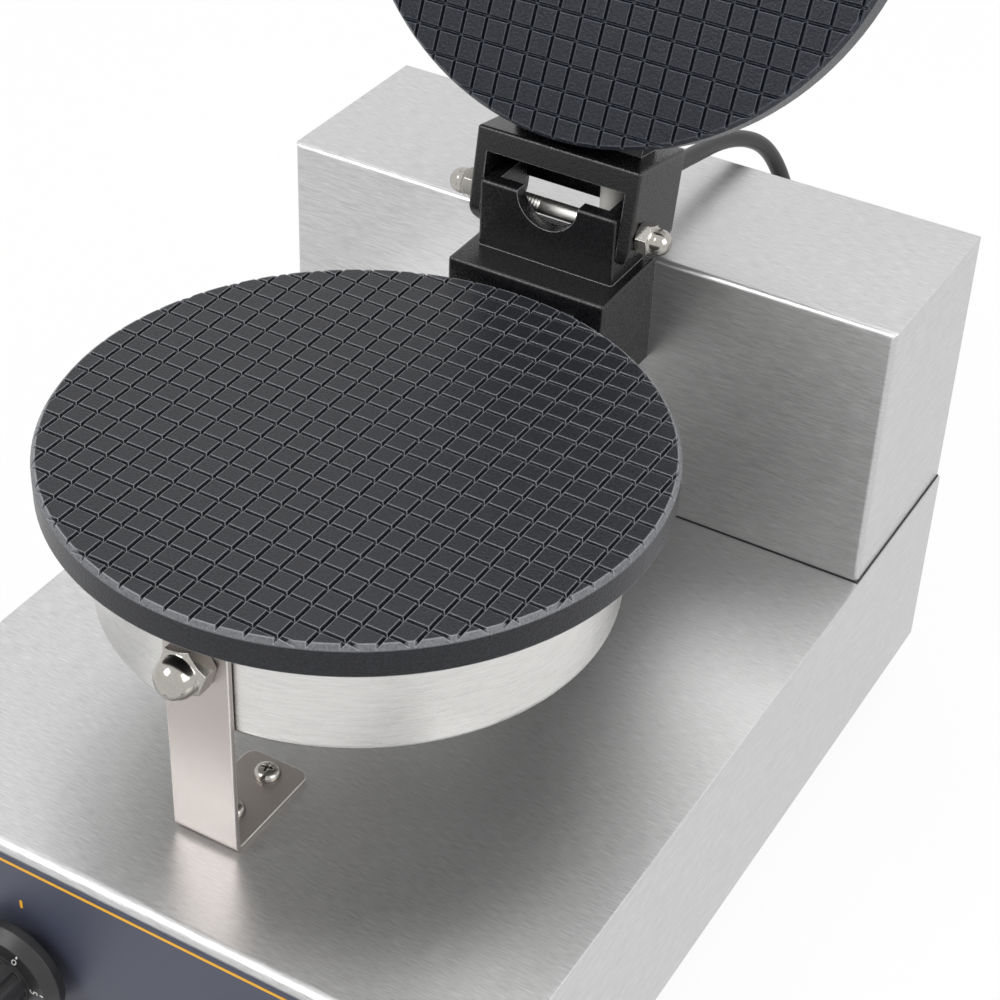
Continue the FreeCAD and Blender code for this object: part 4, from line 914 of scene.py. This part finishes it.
@dataclass
class CapNuts(Assembly):
    """Domed cap nuts with a chamfered hexagon, in place of the plain ones.

    Attributes:
        large_mm: pan's nut: across the flats, height of the hexagon, radius of the dome, whole height.
        middle_mm: handle's nut, in the same order.
        small_mm: nuts of the hinge stud, in the same order.
        turn_deg: turn of each hexagon about its axis.
        washer: radius at which the chamfer starts, as part of half the flats.
        fall: how far the chamfer falls for each unit outwards.
        lip_mm: least straight wall of the dome above the hexagon.
        past_mm: how far the chamfer's tool stands past the faces that it trims.
        tip_mm: how far it stands past them on its axis.
        slack: how far out a face still counts as part of the dome, in dome radii.
        sides: sides of the turned forms.
        arcs: parts of the dome's round.
    """

    large_mm: Sequence[float] = (15.6, 7.2, 7.2, 16.0)
    middle_mm: Sequence[float] = (13.0, 7.5, 6.2, 15.0)
    small_mm: Sequence[float] = (10.0, 5.0, 4.75, 12.0)
    turn_deg: float = 12.0
    washer: float = 0.95
    fall: float = 0.58
    lip_mm: float = 0.3
    past_mm: float = 0.01
    tip_mm: float = 1.0
    slack: float = 1.02
    sides: int = 48
    arcs: int = 10

    def nut(self, name: str, size_mm: Sequence[float]) -> bpy.types.Mesh:
        """Cap nut standing on its own XY plane.

        Args:
            name: name of the mesh.
            size_mm: across the flats, height of the hexagon, radius of the dome, whole height.

        Returns:
            Closed mesh in metres.
        """
        flats, hexagon, dome, tall = size_mm
        corner = flats / math.sqrt(3)
        work = bmesh.new()
        skin(work, [[work.verts.new(p) for p in circle(corner * MM, z * MM, 6)] for z in (0.0, hexagon)])
        blank = placed(name + "_blank", mesh_of(name + "_blank", work))
        start = flats / 2 * self.washer
        slope = (corner - start) * self.fall
        trim = [(0.0, -self.tip_mm), (start, -self.past_mm), (corner, slope), (corner, hexagon - slope),
                (start, hexagon + self.past_mm), (0.0, hexagon + self.tip_mm)]
        straight = tall - dome
        cap = [(0.0, hexagon / 2), (dome, hexagon / 2), (dome, max(straight, hexagon + self.lip_mm))]
        for step in range(1, self.arcs):
            angle = math.pi / 2 * step / self.arcs
            cap.append((dome * math.cos(angle), straight + dome * math.sin(angle)))
        cap.append((0.0, tall))
        shapes = ((name + "_chamfer", trim), (name + "_dome", cap))
        tools = [placed(tool, lathe(tool, profile, self.sides)) for tool, profile in shapes]
        mesh = settled(name, blank, tools, ("INTERSECT", "UNION"))
        work = bmesh.new()
        work.from_mesh(mesh)
        for face in work.faces:
            middle = face.calc_center_median()
            face.smooth = middle.xy.length < dome * self.slack * MM and middle.z > hexagon * MM
        work.to_mesh(mesh)
        work.free()
        return mesh

    def build(self) -> None:
        """Set each nut where its node is."""
        large = self.nut("large_nut", self.large_mm)
        middle = self.nut("middle_nut", self.middle_mm)
        small = self.nut("small_nut", self.small_mm)
        right, left = (Matrix.Rotation(turn, 4, "Y") for turn in (math.pi / 2, -math.pi / 2))
        ahead = Matrix.Rotation(math.pi / 2, 4, "X")
        lean = Matrix.Rotation(math.radians(LID_LEAN), 4, "X")
        turn = Matrix.Rotation(math.radians(self.turn_deg), 4, "Z")
        for node, mesh, carrier, stand in (
            ("pan_nut", large, Carrier.BASE, ahead),
            ("handle_nut", middle, Carrier.LID, lean @ ahead),
            ("hinge_nut_right", small, Carrier.LID, right),
            ("hinge_nut_left", small, Carrier.LID, left),
        ):
            axis = stand.to_3x3() @ Vector((0, 0, 1))
            points = [v.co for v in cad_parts[node].data.vertices]
            level = min(axis.dot(p) for p in points)
            sides = [p - axis * axis.dot(p) for p in points]
            low, high = (Vector([pick(p[i] for p in sides) for i in range(3)]) for pick in (min, max))
            shape = mesh.copy()
            shape.transform(Matrix.Translation((low + high) / 2 + axis * level) @ stand @ turn)
            piece = self.shop.piece(node + "_domed", shape, NICKEL, carrier, "bright_steel")
            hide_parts(node)


@dataclass
class CrossScrews(Assembly):
    """Pan-head screws with a cross recess, in place of the plain ones.

    Attributes:
        head_mm: head's radius.
        rise_mm: head's height.
        rim_mm: height of the head's straight rim.
        crown: power that flattens the head's round.
        arcs: parts of that round.
        shank_mm: shank's radius.
        short_mm: shank's length on the base.
        long_mm: shank's length on the handle.
        wing_mm: half the length of the recess.
        slot_mm: half its width.
        deep_mm: its depth.
        taper: its length and width at the floor, as parts of those at the top.
        past_mm: how far its cutter stands past the head.
    """

    head_mm: float = 4.6
    rise_mm: float = 3.2
    rim_mm: float = 0.5
    crown: float = 0.6
    arcs: int = 8
    shank_mm: float = 2.45
    short_mm: float = 9.0
    long_mm: float = 10.0
    wing_mm: float = 2.6
    slot_mm: float = 0.55
    deep_mm: float = 2.0
    taper: Pair = (0.45, 0.6)
    past_mm: float = 0.5

    def head(self, name: str, length_mm: float) -> bpy.types.Mesh:
        """Screw with its cross recess cut.

        Args:
            name: name of the mesh.
            length_mm: shank's length.

        Returns:
            Mesh whose head sits on its own XY plane.
        """
        profile = [(0.0, -length_mm), (self.shank_mm, -length_mm), (self.shank_mm, 0.0),
                   (self.head_mm, 0.0), (self.head_mm, self.rim_mm)]
        for step in range(1, self.arcs):
            angle = math.pi / 2 * step / self.arcs
            radius = self.head_mm * math.cos(angle) ** self.crown
            profile.append((radius, self.rim_mm + (self.rise_mm - self.rim_mm) * math.sin(angle)))
        profile.append((0.0, self.rise_mm))
        body = placed(name + "_blank", lathe(name + "_blank", profile))
        cutters = [self.wing(name, turn) for turn in (0.0, math.pi / 2)]
        return settled(name, body, cutters, ("DIFFERENCE", "DIFFERENCE"))

    def wing(self, name: str, turn: float) -> bpy.types.Object:
        """Tapered cutter for one slot of the cross.

        Args:
            name: name of the screw.
            turn: its turn about the screw's axis, in radians.

        Returns:
            Cutter object.
        """
        work = bmesh.new()
        rings = []
        floor = (self.rise_mm - self.deep_mm, *self.taper)
        top = (self.rise_mm + self.past_mm, 1.0, 1.0)
        for height, long, wide in (floor, top):
            x, y, z = self.wing_mm * long * MM, self.slot_mm * wide * MM, height * MM
            corners = ((-x, -y, z), (x, -y, z), (x, y, z), (-x, y, z))
            rings.append([work.verts.new(corner) for corner in corners])
        skin(work, rings)
        bmesh.ops.rotate(work, cent=(0, 0, 0), matrix=Matrix.Rotation(turn, 3, "Z"), verts=work.verts)
        return placed(name + "_cutter", mesh_of(name + "_cutter", work))

    def build(self) -> None:
        """Set each screw where its node is, with its own turn of the cross in degrees."""
        short = self.head("cross_screw", self.short_mm)
        long = self.head("cross_screw_long", self.long_mm)
        up = Matrix.Identity(4)
        back = Matrix.Rotation(-math.pi / 2, 4, "X")
        lean = Matrix.Rotation(math.radians(LID_LEAN), 4, "X")
        rows = [("bracket_screw_near", short, up, Carrier.BASE, 35.0)]
        rows += [("bracket_screw_far", short, up, Carrier.BASE, 12.0)]
        rows += [("rear_screw_%d" % n, short, back, Carrier.BASE, 20.0 * n) for n in range(1, 5)]
        rows += [("handle_screw_" + side, long, lean, Carrier.LID, 15.0) for side in ("left", "right")]
        for node, mesh, turn, carrier, spin in rows:
            seat = self.seat(node, turn.to_3x3() @ Vector((0, 0, 1)))
            place = Matrix.Translation(seat) @ turn @ Matrix.Rotation(math.radians(spin), 4, "Z")
            screw = self.shop.piece(node + "_cross", mesh.copy(), NICKEL, carrier, "bright_steel", place)
            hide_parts(node)

    def seat(self, node: str, axis: Vector) -> Vector:
        """Point under the head of a plain screw.

        Args:
            node: name of the screw's node.
            axis: direction of its axis, towards the head.

        Returns:
            Point on the screw's axis, in metres.
        """
        points = [v.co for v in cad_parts[node].data.vertices]
        low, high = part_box(node)
        middle = (Vector(low) + Vector(high)) / 2
        if min(abs(axis.y), abs(axis.z)) > LEANING:
            # The box of a leaning screw isn't centred on its axis, but its points are.
            middle = sum(points, Vector()) / len(points)
        level = max(axis.dot(point) for point in points) - self.rise_mm * MM
        return middle + axis * (level - axis.dot(middle))


@dataclass
class ControlFace(Assembly):
    """Front overlay with its printed line, dials, lamp and power switch.

    Attributes:
        face_y: overlay's front face, in metres.
        control_z: middle of the controls.
        timer_x: timer's middle.
        thermostat_x: thermostat's middle.
        switch_x: switch's middle.
        skirt_y: dial skirt's front face.
        start_deg: where each dial's zero stands at rest, clockwise from the top.
        timer_deg: sweep of the timer's numbers.
        thermostat_deg: sweep of the thermostat's numbers.
        ink: thickness of a printed mark.
        margin_mm: overlay's edge to the printed line, sideways and upwards.
        line_mm: width of that line.
        corner_mm: its outer and inner corner radius.
        figure_mm: height of a dial's numbers, and their distance from its middle.
        tick_mm: width and height of a dial's ticks, and their distance from its middle.
        index_mm: width and height of the index line over a dial, and its distance from the dial's middle.
        rocker_deg: rocker's tilt at rest.
        rocker_mm: half the rocker's length, how far its ends rise, and how far its middle stands out.
        sign_mm: distance of the rocker's two signs from its middle.
        stroke_mm: width and height of the line on it.
        ring_mm: outer and inner radius of the ring on it.
        lift_mm: how far both stand off it.
    """

    face_y: float = -0.1758
    control_z: float = 0.049
    timer_x: float = -0.0475
    thermostat_x: float = 0.084
    switch_x: float = -0.097
    skirt_y: float = -0.1878
    start_deg: float = 26.0
    timer_deg: float = 300.0
    thermostat_deg: float = 270.0
    ink: float = 0.00012
    margin_mm: Pair = (2.4, 1.2)
    line_mm: float = 1.2
    corner_mm: Pair = (4.0, 2.4)
    figure_mm: Pair = (3.1, 12.2)
    tick_mm: Point = (0.7, 1.3, 15.6)
    index_mm: Point = (1.2, 3.6, 24.0)
    rocker_deg: float = -8.0
    rocker_mm: Point = (11.3, 2.0, 3.0)
    sign_mm: float = 6.5
    stroke_mm: Pair = (0.9, 4.0)
    ring_mm: Pair = (2.0, 1.3)
    lift_mm: float = 0.02

    def build(self) -> None:
        """Dress the front and print its marks."""
        self.shop.dress(OVERLAY, "control_panel")
        self.shop.dress(DIAL, "timer_knob", "thermostat_knob")
        self.shop.dress(NICKEL, "timer_shaft", "thermostat_shaft", "lamp_bezel")
        self.shop.dress(AMBER, "lamp_lens")
        self.shop.dress(SWITCH, "switch_case", "rocker")
        self.border()
        self.dial("timer", self.timer_x, Carrier.TIMER, "012345", self.timer_deg)
        self.dial("thermostat", self.thermostat_x, Carrier.THERMOSTAT, "0123456", self.thermostat_deg)
        self.pointer("timer", self.timer_x)
        self.pointer("thermostat", self.thermostat_x)
        self.switch_marks()

    def border(self) -> None:
        """Yellow line printed round the overlay."""
        low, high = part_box("control_panel")
        half_x = (high[0] - low[0]) / 2 - self.margin_mm[0] * MM
        half_z = (high[2] - low[2]) / 2 - self.margin_mm[1] * MM
        line = self.line_mm * MM
        outer, inner = (radius * MM for radius in self.corner_mm)
        mesh = flat_ring("border_line", rounded_outline(half_x, half_z, outer),
                         rounded_outline(half_x - line, half_z - line, inner), self.ink)
        place = facing_front((0.0, self.face_y, (low[2] + high[2]) / 2))
        self.shop.piece("border_line", mesh, YELLOW_INK, Carrier.BASE, "slate_panel", place)

    def dial(self, name: str, across: float, carrier: Carrier, digits: str, sweep: float) -> None:
        """White numbers and ticks on a dial's skirt.

        Args:
            name: control's name.
            across: its middle, in metres.
            carrier: body that turns with it.
            digits: its numbers in order.
            sweep: degrees from the first to the last.
        """
        height, figure_radius = self.figure_mm
        width, length, tick_radius = self.tick_mm
        for order, text in enumerate(digits):
            turn = self.start_deg - sweep * order / (len(digits) - 1)
            number = figure(f"{name}_{text}", text, height * MM, self.ink)
            self.mark(f"{name}_number_{text}", number, across, turn, figure_radius, carrier)
            tick = bar(f"{name}_tick", width * MM, length * MM, self.ink)
            self.mark(f"{name}_tick_{text}", tick, across, turn, tick_radius, carrier)

    def mark(self, name: str, mesh: bpy.types.Mesh, across: float, turn: float, radius_mm: float,
             carrier: Carrier) -> None:
        """Set one white mark on a dial's skirt.

        Args:
            name: piece's name.
            mesh: the mark.
            across: dial's middle, in metres.
            turn: clockwise from the top, in degrees.
            radius_mm: from the dial's middle.
            carrier: body that turns with it.
        """
        angle = math.radians(turn)
        radius = radius_mm * MM
        point = (across + radius * math.sin(angle), self.skirt_y, self.control_z + radius * math.cos(angle))
        self.shop.piece(name, mesh, WHITE_INK, carrier, "dial_plastic", facing_front(point, turn))

    def pointer(self, name: str, across: float) -> None:
        """Yellow index line on the overlay above a dial.

        Args:
            name: control's name.
            across: its middle, in metres.
        """
        width, height, rise = (size * MM for size in self.index_mm)
        mesh = bar(name + "_index", width, height, self.ink)
        place = facing_front((across, self.face_y, self.control_z + rise))
        self.shop.piece(name + "_index", mesh, YELLOW_INK, Carrier.BASE, "slate_panel", place)

    def switch_marks(self) -> None:
        """White line and ring on the rocker's two ends."""
        middle = Matrix.Translation((self.switch_x, self.face_y, self.control_z))
        turn = middle @ Matrix.Rotation(math.radians(self.rocker_deg), 4, "X")
        half, rise, proud = self.rocker_mm
        slope = math.atan2(rise, half)
        width, height = (size * MM for size in self.stroke_mm)
        outer, inner = (circle(radius * MM) for radius in self.ring_mm)
        depth = proud + rise * self.sign_mm / half + self.lift_mm
        for name, way, mesh in (
            ("rocker_line", 1, bar("rocker_line", width, height, self.ink)),
            ("rocker_ring", -1, flat_ring("rocker_ring", outer, inner, self.ink)),
        ):
            stand = facing_front((0.0, -depth * MM, way * self.sign_mm * MM))
            place = turn @ stand @ Matrix.Rotation(way * slope, 4, "X")
            self.shop.piece(name, mesh, WHITE_INK, Carrier.ROCKER, "switch_plastic", place)


@dataclass
class HeaterLead(Assembly):
    """Black lead of the upper plate's heater, from the yoke over the tower to the base.

    Attributes:
        route: control points of its line, in millimetres.
        crest: where it hangs over the tower's back and starts to follow the lid, in metres; not used.
        radius_mm: its radius.
        sides: sides of the tube.
    """

    route: Sequence[Point] = (
        (18.0, 117.894, 223.12), (18.0, 134.54, 220.19), (18.9, 151.3, 217.6), (19.7, 168.0, 215.1),
        (22.7, 184.1, 210.7), (26.5, 198.1, 202.1), (30.4, 206.8, 188.2), (34.4, 210.5, 172.2),
        (41.4, 212.9, 157.0), (51.2, 214.7, 143.3), (60.9, 215.8, 129.5), (67.8, 216.8, 114.1),
        (70.8, 217.6, 97.5), (68.7, 218.2, 80.7), (60.6, 218.0, 66.1), (45.2, 214.4, 57.0),
        (34.0, 201.9, 56.0), (34.0, 185.0, 56.0),
    )
    crest: Point = (0.030, 0.206, 0.190)
    radius_mm: float = 3.25
    sides: int = 20

    def line(self) -> list[Vector]:
        """Smooth centreline of the lead.

        Returns:
            Points along it, in metres.
        """
        curve = bpy.data.curves.new("lead_line", "CURVE")
        curve.dimensions = "3D"
        curve.resolution_u = 10
        spline = curve.splines.new("NURBS")
        spline.points.add(len(self.route) - 1)
        for point, (x, y, z) in zip(spline.points, self.route):
            point.co = (x * MM, y * MM, z * MM, 1.0)
        spline.order_u = 3
        spline.use_endpoint_u = True
        drawn = settled("lead_line", placed("lead_line", curve))
        points = [v.co.copy() for v in drawn.vertices]
        bpy.data.meshes.remove(drawn)
        return points

    def build(self) -> None:
        """Sweep the jacket along the line and hide the plain lead."""
        points = self.line()
        radius = self.radius_mm * MM
        work = bmesh.new()
        rings = []
        normal = Vector((1, 0, 0))
        for number, point in enumerate(points):
            ahead = (points[min(number + 1, len(points) - 1)] - points[max(number - 1, 0)]).normalized()
            normal = (normal - ahead * normal.dot(ahead)).normalized()
            side = ahead.cross(normal)
            around = [(normal * math.cos(a) + side * math.sin(a)) * radius for a in turns(self.sides)]
            rings.append([work.verts.new(point + way) for way in around])
        skin(work, rings)
        mesh = mesh_of("heater_lead", work, True)
        lead = placed("heater_lead", mesh)
        mesh.materials.append(self.shop.get(JACKET))
        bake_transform(lead)
        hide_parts("lid_lead")


@dataclass
class Studio:
    """Plain pale floor, soft lamps and the camera at the photograph's angle.

    Attributes:
        eye: camera's place, in metres.
        right: camera's right-hand direction.
        down: direction down the picture.
        look: viewing direction.
        lens: focal length for a 36 mm wide frame.
        lamps: name, place, aim, side in metres and power in watts of each softbox.
        sky: strength of the surround as a light.
        glow: how much of the floor's own white is seen.
        floor_m: half the floor's side, in metres.
    """

    eye: Point = (0.325799, -0.546752, 0.621739)
    right: Point = (0.862797, 0.504413, 0.033894)
    down: Point = (0.326351, -0.504510, -0.799353)
    look: Point = (-0.386104, 0.700740, -0.599906)
    lens: float = 82.286
    lamps: Sequence[tuple[str, Point, Point, float, float]] = (
        ("key_softbox", (-0.85, -1.3, 1.6), (0.0, 0.0, 0.12), 0.8, 16.0),
        ("side_softbox", (1.4, -0.2, 0.9), (0.0, 0.05, 0.12), 1.0, 9.0),
        ("top_softbox", (-0.1, 0.5, 1.7), (0.0, 0.0, 0.15), 1.2, 9.0),
    )
    sky: float = 0.55
    glow: float = 0.93
    floor_m: float = 6.0

    def build(self) -> None:
        """Set up the camera, floor, world and lamps."""
        self.camera()
        self.floor()
        self.world()
        for name, place, aim, size, power in self.lamps:
            self.lamp(name, place, aim, size, power)
        bpy.context.scene.view_settings.view_transform = "Standard"

    def camera(self) -> None:
        """Camera that matches the photograph."""
        data = bpy.data.cameras.new("photo_camera")
        data.lens = self.lens
        data.sensor_width = 36.0
        data.sensor_fit = "HORIZONTAL"
        data.clip_start = 0.01
        axes = Matrix((self.right, [-c for c in self.down], [-c for c in self.look])).transposed()
        place = Matrix.Translation(self.eye) @ axes.to_4x4()
        bpy.context.scene.camera = placed("photo_camera", data, place)

    def seen(self, tree: Tree) -> Socket:
        """One where the camera, a reflection or a view through something looks at the surround.

        Args:
            tree: node tree of the floor or the world.

        Returns:
            Socket of zero or one.
        """
        rays = add(tree, "ShaderNodeLightPath").outputs
        seen = rays["Is Camera Ray"]
        for kind in ("Is Glossy Ray", "Is Transmission Ray"):
            seen = add(tree, "ShaderNodeMath", {0: seen, 1: rays[kind]}, operation="MAXIMUM").outputs[0]
        return seen

    def floor(self) -> None:
        """Pale floor that keeps the object's shadow."""
        work = bmesh.new()
        bmesh.ops.create_grid(work, x_segments=1, y_segments=1, size=self.floor_m)
        floor = placed("floor", mesh_of("floor", work))
        made = bpy.data.materials.new("white paper sweep")
        tree = emptied(made)
        paper = add(tree, "ShaderNodeBsdfDiffuse", {"Color": linear("#f2f2f0")})
        white = add(tree, "ShaderNodeEmission", {"Color": (1, 1, 1, 1), "Strength": 1.0})
        share = add(tree, "ShaderNodeMath", {0: self.seen(tree), 1: self.glow}, operation="MULTIPLY")
        mixed = add(tree, "ShaderNodeMixShader", {
            0: share.outputs[0], 1: paper.outputs[0], 2: white.outputs[0],
        })
        add(tree, "ShaderNodeOutputMaterial", {"Surface": mixed.outputs[0]})
        floor.data.materials.append(made)

    def world(self) -> None:
        """White surround, dimmer as a light than as a backdrop."""
        world = bpy.data.worlds.new("white_surround")
        bpy.context.scene.world = world
        tree = emptied(world)
        light = add(tree, "ShaderNodeBackground", {"Color": (1, 1, 1, 1), "Strength": self.sky})
        backdrop = add(tree, "ShaderNodeBackground", {"Color": (1, 1, 1, 1), "Strength": 1.0})
        mixed = add(tree, "ShaderNodeMixShader", {
            0: self.seen(tree), 1: light.outputs[0], 2: backdrop.outputs[0],
        })
        add(tree, "ShaderNodeOutputWorld", {"Surface": mixed.outputs[0]})

    def lamp(self, name: str, place: Point, aim: Point, size: float, power: float) -> None:
        """Square softbox.

        Args:
            name: lamp's name.
            place: where it stands.
            aim: point it looks at.
            size: its side, in metres.
            power: in watts.
        """
        data = bpy.data.lights.new(name, "AREA")
        data.size = size
        data.energy = power
        turn = (Vector(aim) - Vector(place)).to_track_quat("-Z", "Y")
        placed(name, data, Matrix.Translation(place) @ turn.to_matrix().to_4x4())


def main() -> None:
    """Build the studio and every sub-assembly."""
    logging.basicConfig(level=logging.INFO)
    shop = Shop()
    Studio().build()
    for assembly in (HeaterLead, SteelBody, GridPlates, Hinge, CapNuts, CrossScrews, ControlFace):
        assembly(shop).build()
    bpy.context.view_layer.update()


if __name__ == "__main__":
    main()
